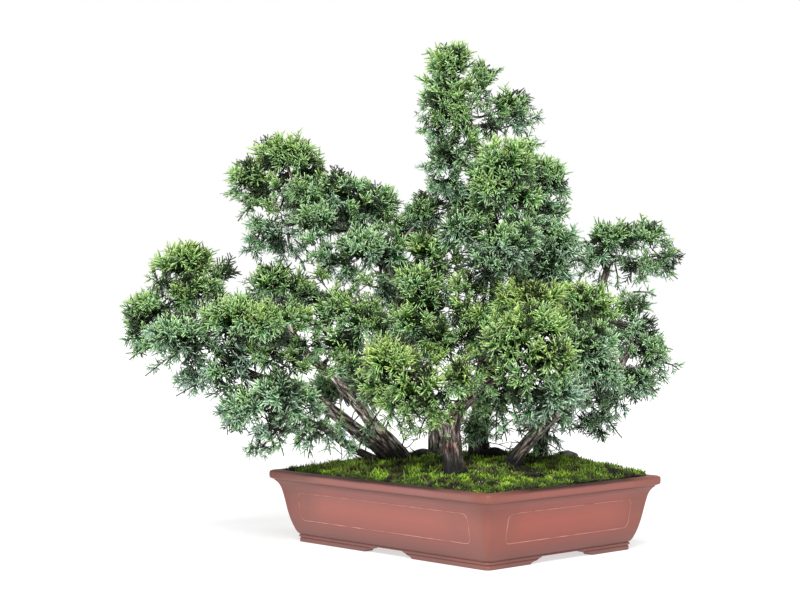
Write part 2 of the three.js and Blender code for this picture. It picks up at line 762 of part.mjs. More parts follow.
// A lobe is joined to the nearest lobe before it by a stem, unless their cores run well into each other.
function stemsOf(pad) {
  const stems = [];
  pad.lobes.slice(1).forEach((lobe, place) => {
    const start = lobeCentre(lobe);
    let nearest = pad.lobes[0];
    for (const other of pad.lobes.slice(0, place + 1)) {
      if (lobeCentre(other).distanceTo(start) < lobeCentre(nearest).distanceTo(start)) {
        nearest = other;
      }
    }
    const end = lobeCentre(nearest);
    const way = end.clone().sub(start).normalize();
    const reach = [lobe, nearest].map((each) => 1 / way.clone().divide(coreRadii(each)).length());
    if (reach[0] + reach[1] < 1.35 * start.distanceTo(end)) {
      const radius = Math.max(THINNEST_STEM, 0.5 * Math.min(coreRadii(lobe).z, coreRadii(nearest).z));
      stems.push({ start, end, radius });
    }
  });
  return stems;
}

// The faces of a lobe's core: 20 on a large lobe and 8 on a small one, turned at random.
function coreFaces(lobe, turn) {
  const large = lobe[3] >= LARGE_LOBE;
  const ball = large ? new THREE.IcosahedronGeometry(1, 0) : new THREE.OctahedronGeometry(1, 0);
  const tumble = new THREE.Euler(turn, 2.1 * turn, 3.3 * turn);
  ball.applyQuaternion(new THREE.Quaternion().setFromEuler(tumble));
  const corners = ball.attributes.position;
  const faces = [];
  for (let first = 0; first < corners.count; first += 3) {
    faces.push([0, 1, 2].map((step) => {
      const corner = new THREE.Vector3().fromBufferAttribute(corners, first + step);
      const wave = Math.sin(9 * corner.x) + Math.sin(8 * corner.y + turn);
      return corner.multiplyScalar(1 + CORE_ROUGHNESS * wave / 2);
    }));
  }
  return faces;
}

function coreSolid(lobe, turn, grow) {
  const radii = coreRadii(lobe).addScalar(grow);
  const centre = lobeCentre(lobe);
  const points = coreFaces(lobe, turn).flat().map((corner) => corner.multiply(radii).add(centre));
  return toSolid(new THREE.BufferGeometry().setFromPoints(points));
}

function stemSolids(pad, grow) {
  return stemsOf(pad).map(({ start, end, radius }) => {
    const line = [start, end].map((point) => [...point.toArray(), radius]);
    return limb(line, TWIG_SIDES, grow);
  });
}

// Shortest distance between two straight stretches.
function stretchDistance(firstStart, firstEnd, secondStart, secondEnd) {
  const first = firstEnd.clone().sub(firstStart);
  const second = secondEnd.clone().sub(secondStart);
  const between = firstStart.clone().sub(secondStart);
  const a = first.dot(first);
  const e = second.dot(second);
  const b = first.dot(second);
  const c = first.dot(between);
  const f = second.dot(between);
  const flat = a * e - b * b;
  const clamp = THREE.MathUtils.clamp;
  let s = flat > 1e-9 ? clamp((b * f - c * e) / flat, 0, 1) : 0;
  let t = clamp((b * s + f) / e, 0, 1);
  s = clamp((b * t - c) / a, 0, 1);
  t = clamp((b * s + f) / e, 0, 1);
  const onFirst = firstStart.clone().addScaledVector(first, s);
  const onSecond = secondStart.clone().addScaledVector(second, t);
  return onFirst.distanceTo(onSecond);
}

function insideCore(point, lobe, margin) {
  const radii = coreRadii(lobe).addScalar(margin);
  return point.clone().sub(lobeCentre(lobe)).divide(radii).length() < 1;
}

// Straight stretches of all the wood, for keeping shoots clear of it.
function woodStretches() {
  const stretches = [];
  for (const name of Object.keys(TRUNKS)) {
    for (const { line } of woodLines(name)) {
      const curve = smoothLine(line);
      const pieces = line.length - 1;
      for (let piece = 0; piece < pieces; piece += 1) {
        stretches.push({
          start: curve.getPoint(piece / pieces),
          end: curve.getPoint((piece + 1) / pieces),
          radius: line[piece][3] * 1.12,
        });
      }
    }
  }
  return stretches;
}

// A shoot stands on the middle of a core's face and reaches the foliage's outer form, leaning upwards.
function shootOn(lobe, face, random) {
  const centre = lobeCentre(lobe);
  const corners = face.map((corner) => corner.clone().multiply(coreRadii(lobe)).add(centre));
  const root = corners[0].clone().add(corners[1]).add(corners[2]).divideScalar(3);
  const direction = face[0].clone().add(face[1]).add(face[2]).normalize();
  const lean = new THREE.Vector3(random() - 0.5, random() - 0.5, 0.7 * random());
  const share = SHORTEST_SHOOT + (LONGEST_SHOOT - SHORTEST_SHOOT) * random();
  const tip = direction.multiply(outerRadii(lobe)).multiplyScalar(share).add(centre);
  tip.addScaledVector(lean, SHOOT_LEAN);
  return { lobe, corners, root, tip };
}

// A shoot has to stay clear of the other pads, of the wood and of the shoots that are there already,
// and it must not be buried in its own pad.
function shootIsClear(name, { lobe: ownLobe, root, tip }, placed, wood) {
  const clearance = SHOOT_RADIUS + PAD_CLEARANCE;
  const probes = [0, 0.25, 0.5, 0.75, 1].map((share) => root.clone().lerp(tip, share));
  for (const [other, pad] of Object.entries(PADS)) {
    const points = other === name ? [probes[2], tip] : probes;
    const margin = other === name ? 0 : clearance;
    const otherLobes = pad.lobes.filter((lobe) => lobe !== ownLobe);
    if (otherLobes.some((lobe) => points.some((point) => insideCore(point, lobe, margin)))) {
      return false;
    }
    const hitsStem = ({ start, end, radius }) => stretchDistance(root, tip, start, end) < radius + clearance;
    if (other !== name && stemsOf(pad).some(hitsStem)) {
      return false;
    }
  }
  const hitsWood = ({ start, end, radius }) => stretchDistance(root, tip, start, end) < radius + clearance;
  const hitsShoot = (shoot) => stretchDistance(root, tip, shoot.root, shoot.tip) < SHOOT_SPACING;
  return !wood.some(hitsWood) && !placed.some(hitsShoot);
}

// The skin of a core's face: flat, or drawn in to a three-sided shoot at its middle.
function facePoints({ corners, root, tip }, hasShoot) {
  if (!hasShoot) {
    return corners;
  }
  const foot = corners.map((corner) => corner.clone().sub(root).setLength(SHOOT_RADIUS).add(root));
  const points = [];
  for (let side = 0; side < 3; side += 1) {
    const next = (side + 1) % 3;
    points.push(corners[side], corners[next], foot[next]);
    points.push(corners[side], foot[next], foot[side]);
    points.push(foot[side], foot[next], tip);
  }
  return points;
}

function buildPads(grownWood) {
  const random = seededRandom(7);
  const wood = woodStretches();
  const placed = [];
  const grownBodies = [];
  const pads = {};
  for (const [name, pad] of Object.entries(PADS)) {
    const turns = pad.lobes.map(() => 6 * random());
    const lobes = pad.lobes.map((lobe, place) => {
      const points = [];
      for (const face of coreFaces(lobe, turns[place])) {
        const shoot = shootOn(lobe, face, random);
        const hasShoot = random() < SHOOT_SHARE && shootIsClear(name, shoot, placed, wood);
        if (hasShoot) {
          placed.push(shoot);
        }
        points.push(...facePoints(shoot, hasShoot));
      }
      return toSolid(new THREE.BufferGeometry().setFromPoints(points));
    });
    const whole = joined([...lobes, ...stemSolids(pad, 0)]);
    pads[name] = largestBody(cutClear(whole, [...grownWood, ...grownBodies]));
    const grownCores = pad.lobes.map((lobe, place) => coreSolid(lobe, turns[place], PAD_CLEARANCE));
    grownBodies.push(joined([...grownCores, ...stemSolids(pad, PAD_CLEARANCE)]));
  }
  return pads;
}

// ---------------------------------------------------------------------------------------------
// The whole plant

function named(name, solid, color, roughness) {
  const material = new THREE.MeshStandardMaterial({ color, roughness, metalness: 0 });
  const mesh = new THREE.Mesh(toGeometry(solid), material);
  mesh.name = name;
  return mesh;
}

function turned(solid) {
  return toSolid(toGeometry(solid).rotateZ(TREE_TURN));
}

const trunkNames = Object.keys(TRUNKS);
const grownTrunks = trunkNames.map((name) => buildWood(name, WOOD_CLEARANCE));
const grownStones = Object.values(STONES).map((stone) => stoneLump(stone.centre, stone.half, WOOD_CLEARANCE));
const inGround = [...trunkNames.map(groundHole), ...grownStones].map(turned);
const bareSoil = BARE_PATCHES.map((patch) => turned(stoneLump(patch.centre, patch.half, 0)));

const plant = new THREE.Group();
plant.add(named('pot', buildPot(), 0xa9695c, 0.62));
drainCentres().forEach((x, place) => {
  plant.add(named(`drain_screen_${place + 1}`, buildDrainScreen(x), 0x202422, 0.7));
});
plant.add(named('soil', largestBody(cutClear(buildSoil(), inGround)), 0x2c241c, 0.95));
plant.add(named('moss', largestBody(cutClear(buildMoss(), [...inGround, ...bareSoil])), 0x7d9a24, 0.95));

const tree = new THREE.Group();
tree.rotation.z = TREE_TURN;
for (const [name, stone] of Object.entries(STONES)) {
  tree.add(named(name, cutClear(stoneLump(stone.centre, stone.half, 0), grownTrunks), stone.color, 0.85));
}
for (const name of trunkNames) {
  tree.add(named(name, buildWood(name), 0x6e5d50, 0.9));
}
for (const [name, solid] of Object.entries(buildPads(grownTrunks))) {
  tree.add(named(name, solid, PADS[name].tint, 0.8));
}
plant.add(tree);

// The origin is on the surface that the pot stands on, under the middle of the whole plant.
plant.updateMatrixWorld(true);
const reach = new THREE.Box3().setFromObject(plant, true);
const middle = reach.getCenter(new THREE.Vector3());
plant.position.set(-middle.x, -middle.y, -reach.min.z);

export default plant;
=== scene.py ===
# A clump of old juniper trunks in a rectangular red clay pot, with moss on the soil and the foliage
# clipped in pads. It stands by itself on a pale studio floor.

import json
import math

import bmesh
import bpy
import numpy as np
from mathutils import Matrix, Vector, noise
from mathutils.bvhtree import BVHTree

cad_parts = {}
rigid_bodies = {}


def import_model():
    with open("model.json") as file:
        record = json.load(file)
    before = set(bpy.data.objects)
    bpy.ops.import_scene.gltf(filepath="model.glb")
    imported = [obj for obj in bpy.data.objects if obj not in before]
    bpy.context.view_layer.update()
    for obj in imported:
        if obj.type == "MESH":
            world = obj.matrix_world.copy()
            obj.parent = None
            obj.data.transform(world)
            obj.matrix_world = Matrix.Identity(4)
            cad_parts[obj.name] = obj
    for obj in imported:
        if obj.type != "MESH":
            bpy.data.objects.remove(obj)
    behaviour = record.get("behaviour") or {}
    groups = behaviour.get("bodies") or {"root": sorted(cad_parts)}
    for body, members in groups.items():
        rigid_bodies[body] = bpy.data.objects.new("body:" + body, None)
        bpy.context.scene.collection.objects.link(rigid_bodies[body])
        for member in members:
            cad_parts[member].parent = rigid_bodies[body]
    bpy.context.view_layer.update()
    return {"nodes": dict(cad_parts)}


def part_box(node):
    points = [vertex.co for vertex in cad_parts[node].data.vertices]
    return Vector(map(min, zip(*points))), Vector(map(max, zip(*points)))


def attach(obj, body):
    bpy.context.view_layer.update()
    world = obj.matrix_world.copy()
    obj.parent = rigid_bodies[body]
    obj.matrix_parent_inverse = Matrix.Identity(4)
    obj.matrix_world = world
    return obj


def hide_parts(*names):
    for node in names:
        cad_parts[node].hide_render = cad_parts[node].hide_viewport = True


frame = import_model()
scene = bpy.context.scene

# ---------------------------------------------------------------------------------------------
# Camera: a long lens a little below the tree's middle, looking at the pot's near corner. Its focal
# length is 1800 of the photo's pixels, and the photo is 800 of them wide.

PHOTO_WIDTH = 800
FOCAL_PIXELS = 1800
SENSOR = 36.0
VIEW_TURN = math.radians(46.8)
VIEW_PITCH = math.radians(0.5)
VIEW_DISTANCE = 2.305
VIEW_RIGHT = -0.0791
VIEW_UP = 0.3067

pot_low, pot_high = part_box("pot")
pot_centre = Vector(((pot_low.x + pot_high.x) / 2, (pot_low.y + pot_high.y) / 2, 0))
view_back = Vector((
    math.sin(VIEW_TURN) * math.cos(VIEW_PITCH),
    -math.cos(VIEW_TURN) * math.cos(VIEW_PITCH),
    math.sin(VIEW_PITCH),
))
view_right = Vector((math.cos(VIEW_TURN), math.sin(VIEW_TURN), 0))
view_up = view_right.cross(-view_back)

camera_data = bpy.data.cameras.new("camera")
camera_data.sensor_width = SENSOR
camera_data.lens = SENSOR * FOCAL_PIXELS / PHOTO_WIDTH
camera_data.clip_end = 60
camera = bpy.data.objects.new("camera", camera_data)
place = pot_centre + view_back * VIEW_DISTANCE + view_right * VIEW_RIGHT + view_up * VIEW_UP
turn = Matrix((view_right, view_up, view_back)).transposed().to_4x4()
camera.matrix_world = Matrix.Translation(place) @ turn
scene.collection.objects.link(camera)
scene.camera = camera

# ---------------------------------------------------------------------------------------------
# Studio: a matt white floor, white surroundings that give a soft light, and a large lamp high up in
# front of the tree, a little to the left.


def linear(colour):
    """An sRGB hex colour as linear red, green, blue and alpha."""
    channels = [int(colour[start:start + 2], 16) / 255 for start in (1, 3, 5)]
    curve = [c / 12.92 if c <= 0.04045 else ((c + 0.055) / 1.055) ** 2.4 for c in channels]
    return (*curve, 1.0)


def add_node(tree, kind, inputs=(), stops=(), **settings):
    """Adds a node. inputs pairs a socket's name or number with a value or with the socket that feeds it.

    stops are the colours of a ramp, in order, each with its place from 0 to 1.
    """
    node = tree.nodes.new(kind)
    for name, value in settings.items():
        setattr(node, name, value)
    for name, value in dict(inputs).items():
        if isinstance(value, bpy.types.NodeSocket):
            tree.links.new(value, node.inputs[name])
        else:
            node.inputs[name].default_value = value
    if stops:
        elements = node.color_ramp.elements
        for position, colour in stops[1:-1]:
            elements.new(position).color = linear(colour)
        for element, (position, colour) in [(elements[0], stops[0]), (elements[-1], stops[-1])]:
            element.position = position
            element.color = linear(colour)
    return node


def new_material(name):
    """An empty material and its tree."""
    material = bpy.data.materials.new(name)
    material.use_nodes = True
    material.node_tree.nodes.clear()
    return material, material.node_tree


def new_piece(name, vertices, faces, material, smooth=True):
    """A mesh object in the scene, in the model's own frame, in metres."""
    mesh = bpy.data.meshes.new(name)
    mesh.from_pydata([tuple(vertex) for vertex in vertices], [], faces)
    mesh.polygons.foreach_set("use_smooth", [smooth] * len(mesh.polygons))
    mesh.materials.append(material)
    piece = bpy.data.objects.new(name, mesh)
    scene.collection.objects.link(piece)
    return piece


FLOOR_RADIUS = 14.0
FLOOR_SIDES = 96
TABLE_GLOW = 0.62
SKY_SEEN = 1.0
SKY_LIGHT = 0.62
LAMP_ANGLE = math.radians(28)
LAMP_STRENGTH = 3.4
LAMP_RIGHT = -0.12
LAMP_HEIGHT = 1.1

# White acrylic, lit from below, so that shadows on it are faint.
white_table, tree = new_material("lit_white_acrylic")
surface = add_node(tree, "ShaderNodeBsdfDiffuse", {"Color": linear("#b4b4b4")})
glow = add_node(tree, "ShaderNodeEmission", {"Strength": TABLE_GLOW})
both = add_node(tree, "ShaderNodeAddShader", {0: surface.outputs[0], 1: glow.outputs[0]})
add_node(tree, "ShaderNodeOutputMaterial", {"Surface": both.outputs[0]})
rim = [
    (FLOOR_RADIUS * math.cos(turn), FLOOR_RADIUS * math.sin(turn), -0.0002)
    for turn in np.linspace(0, 2 * math.pi, FLOOR_SIDES, endpoint=False)
]
new_piece("studio_floor", rim, [tuple(range(FLOOR_SIDES))], white_table, smooth=False)

world = bpy.data.worlds.new("studio")
world.use_nodes = True
tree = world.node_tree
tree.nodes.clear()
seen = add_node(tree, "ShaderNodeLightPath").outputs["Is Camera Ray"]
strength = add_node(tree, "ShaderNodeMapRange", {"Value": seen, "To Min": SKY_LIGHT, "To Max": SKY_SEEN})
sky = add_node(tree, "ShaderNodeBackground", {
    "Color": linear("#ffffff"), "Strength": strength.outputs[0],
})
add_node(tree, "ShaderNodeOutputWorld", {"Surface": sky.outputs[0]})
scene.world = world
scene.view_settings.view_transform = "Standard"

lamp_data = bpy.data.lights.new("lamp", "SUN")
lamp_data.energy = LAMP_STRENGTH
lamp_data.angle = LAMP_ANGLE
lamp = bpy.data.objects.new("lamp", lamp_data)
towards_lamp = view_back + view_right * LAMP_RIGHT + Vector((0, 0, LAMP_HEIGHT))
lamp.rotation_euler = towards_lamp.to_track_quat("Z", "Y").to_euler()
scene.collection.objects.link(lamp)

# ---------------------------------------------------------------------------------------------
# Pot: red clay, pressed in a mould, burnished while damp and fired without a glaze. It has a thick
# lip, two thin ridges above the base, a raised line round each side's panel, and four corner feet.

MM = 0.001

# Both walls are lines of points: how far in each is from the lip's outer edge, and how high, in mm.
POT_HEIGHT = 93
OUTER_WALL = [
    (28.6, 0), (28.2, 4.2), (29.6, 5.4), (27.5, 6.6), (27.5, 8.6), (29, 9.8), (26, 11.4), (21.6, 22),
    (17.8, 36), (15.2, 50), (12.6, 64), (10.2, 73), (6.4, 78.4), (4.6, 80), (4.8, 81), (1, 82.2),
    (0, 84.4), (0, 90), (0.6, 91.8), (1.6, 92.2), (1.7, 92.6), (3.4, 93),
]
INNER_WALL = [(11.5, 93), (12.8, 91.6), (15, 86), (22, 68), (31, 36), (37, 16)]
POT_CORNER = 7
CORNER_STEPS = 7
FLOOR_UNDERSIDE = 8
FOOT_WIDTH = 14
LONG_SIDE_GAP = {"foot": 43, "top": 27}
SHORT_SIDE_GAP = {"foot": 56, "top": 37}
DRAIN_HOLE_RADIUS = 13
DRAIN_HOLE_SPACING = 190
PANEL_ENDS = 47
PANEL_BOTTOM = 30
PANEL_TOP = 66
PANEL_CORNER = 8
PANEL_CORNER_STEPS = 8
PANEL_LINE = 0.55
PANEL_LINE_SIDES = 6
CUT_LOW = -2
CUT_HIGH = 24
CUT_SPARE = 10
HOLE_SIDES = 32
SHARP_ANGLE = math.radians(32)

half_length = (pot_high.x - pot_low.x) / 2 / MM
half_width = (pot_high.y - pot_low.y) / 2 / MM


def corner_cut(points, rounds):
    """A line with its corners rounded by cutting them again and again, with its ends kept."""
    line = np.array(points, float)
    for _ in range(rounds):
        near = 0.75 * line[:-1] + 0.25 * line[1:]
        far = 0.25 * line[:-1] + 0.75 * line[1:]
        middle = np.stack([near, far], 1).reshape(-1, line.shape[1])[1:-1]
        line = np.vstack([line[:1], middle, line[-1:]])
    return line


def pot_ring(inset, height):
    """A rounded rectangle that stands in from the lip's outer edge."""
    ring = []
    for quarter, (across, along) in enumerate([(1, 1), (-1, 1), (-1, -1), (1, -1)]):
        for step in range(CORNER_STEPS + 1):
            turn = (quarter + step / CORNER_STEPS) * math.pi / 2
            x = across * (half_length - inset - POT_CORNER) + POT_CORNER * math.cos(turn)
            y = along * (half_width - inset - POT_CORNER) + POT_CORNER * math.sin(turn)
            ring.append(pot_centre + Vector((x, y, height)) * MM)
    return ring


def tube_faces(rings, sides, closed_ends=True, loop=False):
    """The faces that join rings of the same number of points."""
    faces = []
    for ring in range(rings if loop else rings - 1):
        low = ring * sides
        high = (ring + 1) % rings * sides
        for side in range(sides):
            after = (side + 1) % sides
            faces.append((low + side, low + after, high + after, high + side))
    if closed_ends and not loop:
        faces.append(tuple(reversed(range(sides))))
        faces.append(tuple(range((rings - 1) * sides, rings * sides)))
    return faces


def turn_faces_out(mesh):
    """Makes a closed mesh's faces point outwards."""
    shell = bmesh.new()
    shell.from_mesh(mesh)
    bmesh.ops.recalc_face_normals(shell, faces=shell.faces)
    shell.to_mesh(mesh)
    shell.free()


def cutter(name, outline, direction, reach):
    """A prism through the pot: outline is its section, as places across the direction and heights."""
    side = Vector((-direction.y, direction.x, 0))
    rings = []
    for end in (-reach, reach):
        for across, height in outline:
            corner = direction * end + side * across + Vector((0, 0, height))
            rings.append(pot_centre + corner * MM)
    piece = new_piece(name, rings, tube_faces(2, len(outline)), red_clay)
    turn_faces_out(piece.data)
    return piece


def foot_gap(gap):
    """Half of the scrolled gap between two feet, and its mirror image."""
    foot, top = gap["foot"], gap["top"]
    half = [
        (foot, CUT_LOW), (foot, 0), (foot - 2, 2.4), (top + 8, 3.8), (top + 3.6, 5.6), (top + 1, 7.2),
        (top, FLOOR_UNDERSIDE),
    ]
    half = [tuple(point) for point in corner_cut(half, 1)]
    return half + [(-across, height) for across, height in reversed(half)]


def plain_mesh(piece):
    """Applies a piece's modifiers: its mesh becomes what they make of it."""
    evaluated = piece.evaluated_get(bpy.context.evaluated_depsgraph_get())
    made = bpy.data.meshes.new_from_object(evaluated)
    piece.modifiers.clear()
    piece.data = made


# Burnished stoneware clay: matt, with a soft sheen where it was rubbed. It is orange-red in the middle of
# each side, and greyer at the corners, the lip and the foot, where the kiln's flame reached it. By height it
# is also darker in the groove under the lip, which is a painted shadow, and nearly black-brown along the
# lip's top edge.
red_clay, tree = new_material("burnished_red_clay")
where = add_node(tree, "ShaderNodeTexCoord").outputs["Object"]
from_centre = add_node(tree, "ShaderNodeVectorMath", {0: where, 1: pot_centre}, operation="SUBTRACT")
apart = add_node(tree, "ShaderNodeVectorMath", {0: from_centre.outputs[0]}, operation="ABSOLUTE")
shares = add_node(tree, "ShaderNodeVectorMath", {
    0: apart.outputs[0], 1: (half_length * MM, half_width * MM, POT_HEIGHT * MM),
}, operation="DIVIDE")
split = add_node(tree, "ShaderNodeSeparateXYZ", {0: shares.outputs[0]}).outputs
along = add_node(tree, "ShaderNodeMath", {0: split["X"], 1: split["Y"]}, operation="MINIMUM")
clouds = add_node(tree, "ShaderNodeTexNoise", {"Vector": where, "Scale": 17.0, "Detail": 4.0})
drift = add_node(tree, "ShaderNodeMapRange", {
    "Value": clouds.outputs["Fac"], "To Min": -0.42, "To Max": 0.42,
})
edge_place = add_node(tree, "ShaderNodeMath", {0: along.outputs[0], 1: drift.outputs[0]}, operation="ADD")
edge = add_node(tree, "ShaderNodeMapRange", {
    "Value": edge_place.outputs[0], "From Min": 0.5, "From Max": 1.0,
})
band_wobble = add_node(tree, "ShaderNodeMapRange", {
    "Value": clouds.outputs["Fac"], "From Min": 0.3, "From Max": 0.7, "To Min": -0.007, "To Max": 0.007,
})
level = add_node(tree, "ShaderNodeMath", {0: split["Z"], 1: band_wobble.outputs[0]}, operation="ADD")
# Colour by height. The dark band at 0.865 is a painted shadow in the groove under the lip, and the last two
# stops darken the lip's top edge.
height_colour_and_groove_shade = add_node(tree, "ShaderNodeValToRGB", {"Fac": level.outputs[0]}, stops=[
    (0, "#75504b"), (0.16, "#7e524c"), (0.3, "#8f5750"), (0.55, "#a05f55"), (0.8, "#97605a"),
    (0.865, "#774c46"), (0.885, "#93605a"), (0.955, "#8f5c55"), (0.975, "#5b3c37"), (0.99, "#3a2723"),
])
greyer = add_node(tree, "ShaderNodeMix", {
    0: edge.outputs[0], 6: height_colour_and_groove_shade.outputs[0], 7: linear("#86584f"),
}, data_type="RGBA")
end_side = add_node(tree, "ShaderNodeMapRange", {"Value": split["X"], "From Min": 0.84, "From Max": 0.9})
redder = add_node(tree, "ShaderNodeMix", {
    0: end_side.outputs[0], 6: greyer.outputs[2], 7: linear("#ffebe4"),
}, data_type="RGBA", blend_type="MULTIPLY")
streaks_place = add_node(tree, "ShaderNodeMapping", {"Vector": where, "Scale": (9, 9, 260)})
streaks = add_node(tree, "ShaderNodeTexNoise", {
    "Vector": streaks_place.outputs[0], "Scale": 1.0, "Detail": 4.0,
})
grit = add_node(tree, "ShaderNodeTexNoise", {"Vector": where, "Scale": 900.0, "Detail": 2.0})
relief = add_node(tree, "ShaderNodeMath", {
    0: streaks.outputs["Fac"], 1: grit.outputs["Fac"],
}, operation="ADD")
bump = add_node(tree, "ShaderNodeBump", {"Height": relief.outputs[0], "Strength": 0.12, "Distance": 0.001})
gloss = add_node(tree, "ShaderNodeMapRange", {
    "Value": streaks.outputs["Fac"], "To Min": 0.4, "To Max": 0.6,
})
shader = add_node(tree, "ShaderNodeBsdfPrincipled", {
    "Base Color": redder.outputs[2], "Roughness": gloss.outputs[0], "Normal": bump.outputs[0],
    "Specular IOR Level": 0.35,
})
add_node(tree, "ShaderNodeOutputMaterial", {"Surface": shader.outputs[0]})

wall = np.vstack([corner_cut(OUTER_WALL, 2), corner_cut(INNER_WALL, 1)])
rings = [pot_ring(inset, height) for inset, height in wall]
ring_size = len(rings[0])
pot_points = [point for ring in rings for point in ring]
pot = new_piece("clay_pot", pot_points, tube_faces(len(rings), ring_size), red_clay)
along_x = Vector((1, 0, 0))
along_y = Vector((0, 1, 0))
base_inset = OUTER_WALL[0][0] + FOOT_WIDTH
hollow_side = half_width - base_inset
hollow = [
    (-hollow_side, CUT_LOW), (hollow_side, CUT_LOW), (hollow_side, FLOOR_UNDERSIDE),
    (-hollow_side, FLOOR_UNDERSIDE),
]
cutters = [
    cutter("hollow_cutter", hollow, along_x, half_length - base_inset),
    cutter("long_gap_cutter", foot_gap(LONG_SIDE_GAP), along_y, half_width + CUT_SPARE),
    cutter("short_gap_cutter", foot_gap(SHORT_SIDE_GAP), along_x, half_length + CUT_SPARE),
]
for x in (-DRAIN_HOLE_SPACING / 2, DRAIN_HOLE_SPACING / 2):
    turns = np.linspace(0, 2 * math.pi, HOLE_SIDES, endpoint=False)
    ring_pair = [
        pot_centre + Vector((x + DRAIN_HOLE_RADIUS * math.cos(t), DRAIN_HOLE_RADIUS * math.sin(t), z)) * MM
        for z in (CUT_LOW, CUT_HIGH) for t in turns
    ]
    cutters.append(new_piece("drain_hole_cutter", ring_pair, tube_faces(2, HOLE_SIDES), red_clay))
for tool in cutters:
    cut = pot.modifiers.new(tool.name, "BOOLEAN")
    cut.object = tool
    cut.operation = "DIFFERENCE"
    cut.solver = "EXACT"
plain_mesh(pot)
for tool in cutters:
    bpy.data.objects.remove(tool)
pot.data.set_sharp_from_angle(angle=SHARP_ANGLE)
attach(pot, "root")
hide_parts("pot")

# The raised line round each panel, pressed from a groove in the mould. It is paler than the wall: partly
# rubbed wear, partly a painted highlight where the raised line catches the light.
pale_highlit_clay, tree = new_material("burnished_red_clay_rubbed_pale_and_highlit")
where = add_node(tree, "ShaderNodeTexCoord").outputs["Object"]
wear_and_highlight = add_node(tree, "ShaderNodeTexNoise", {"Vector": where, "Scale": 60.0, "Detail": 3.0})
wear_and_highlight_share = add_node(tree, "ShaderNodeMapRange", {
    "Value": wear_and_highlight.outputs["Fac"], "From Min": 0.35, "From Max": 0.65,
})
# Painted highlight and wear: the line is drawn paler in patches.
rubbed_and_highlit = add_node(tree, "ShaderNodeMix", {
    0: wear_and_highlight_share.outputs[0], 6: linear("#a0645a"), 7: linear("#c48f7e"),
}, data_type="RGBA")
shader = add_node(tree, "ShaderNodeBsdfPrincipled", {"Base Color": rubbed_and_highlit.outputs[2], "Roughness": 0.45})
add_node(tree, "ShaderNodeOutputMaterial", {"Surface": shader.outputs[0]})


def panel_outline(half_span):
    """The rounded rectangle of a panel, as places along the side and heights."""
    low = PANEL_BOTTOM + PANEL_CORNER
    high = PANEL_TOP - PANEL_CORNER
    span = half_span - PANEL_CORNER
    outline = []
    for quarter, (along, up) in enumerate([(span, high), (-span, high), (-span, low), (span, low)]):
        for step in range(PANEL_CORNER_STEPS + 1):
            turn = (quarter + step / PANEL_CORNER_STEPS) * math.pi / 2
            outline.append((along + PANEL_CORNER * math.cos(turn), up + PANEL_CORNER * math.sin(turn)))
    return outline


def swept_loop(points, outward, radius, sides):
    """The points of a closed tube that follows a loop of points on a wall."""
    points = np.array(points)
    ahead = np.roll(points, -1, 0) - np.roll(points, 1, 0)
    ahead /= np.linalg.norm(ahead, axis=1)[:, None]
    out = np.array(outward)
    across = np.cross(ahead, out)
    turns = np.linspace(0, 2 * math.pi, sides, endpoint=False)
    rings = [points + radius * (math.cos(t) * out + math.sin(t) * across) for t in turns]
    return np.stack(rings, 1).reshape(-1, 3)


outer_insets, outer_heights = corner_cut(OUTER_WALL, 2).T
line_points = []
line_faces = []
for out, half_depth, half_span in [
    (Vector((0, -1, 0)), half_width, half_length - PANEL_ENDS),
    (Vector((1, 0, 0)), half_length, half_width - PANEL_ENDS),
    (Vector((0, 1, 0)), half_width, half_length - PANEL_ENDS),
    (Vector((-1, 0, 0)), half_length, half_width - PANEL_ENDS),
]:
    side = Vector((-out.y, out.x, 0))
    loop = []
    for along, up in panel_outline(half_span):
        depth = half_depth - np.interp(up, outer_heights, outer_insets)
        loop.append(pot_centre + (side * along + out * depth + Vector((0, 0, up))) * MM)
    start = len(line_points)
    line_points.extend(swept_loop(loop, out, PANEL_LINE * MM, PANEL_LINE_SIDES))
    loop_faces = tube_faces(len(loop), PANEL_LINE_SIDES, loop=True)
    line_faces += [tuple(start + index for index in face) for face in loop_faces]
panel_lines = new_piece("panel_lines", line_points, line_faces, pale_highlit_clay)
turn_faces_out(panel_lines.data)
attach(panel_lines, "root")

# ---------------------------------------------------------------------------------------------
# Drain mesh and soil: squares of black plastic mesh lie over the holes, under damp, dark, gritty soil
# that is heaped round the trunks. Both are shown in the solids' own form.


def plain_material(name, colour, roughness):
    """A material of one colour."""
    material, tree = new_material(name)
    shader = add_node(tree, "ShaderNodeBsdfPrincipled", {
        "Base Color": linear(colour), "Roughness": roughness,
    })
    add_node(tree, "ShaderNodeOutputMaterial", {"Surface": shader.outputs[0]})
    return material


black_mesh = plain_material("black_polythene_mesh", "#1b1d1c", 0.5)

# Damp akadama and leaf mould: nearly black, with paler grains of 2 to 3 mm.
damp_soil, tree = new_material("damp_gritty_soil")
where = add_node(tree, "ShaderNodeTexCoord").outputs["Object"]
grains = add_node(tree, "ShaderNodeTexVoronoi", {"Vector": where, "Scale": 380.0})
darkening = add_node(tree, "ShaderNodeTexNoise", {"Vector": where, "Scale": 45.0, "Detail": 4.0})
lightness = add_node(tree, "ShaderNodeMath", {
    0: grains.outputs["Distance"], 1: darkening.outputs["Fac"],
}, operation="MULTIPLY")
soil_colour = add_node(tree, "ShaderNodeValToRGB", {"Fac": lightness.outputs[0]}, stops=[
    (0, "#120e0a"), (0.45, "#5e4c3a"),
])
bump = add_node(tree, "ShaderNodeBump", {
    "Height": grains.outputs["Distance"], "Strength": 0.8, "Distance": 0.002,
})
shader = add_node(tree, "ShaderNodeBsdfPrincipled", {
    "Base Color": soil_colour.outputs[0], "Roughness": 0.85, "Normal": bump.outputs[0],
})
add_node(tree, "ShaderNodeOutputMaterial", {"Surface": shader.outputs[0]})


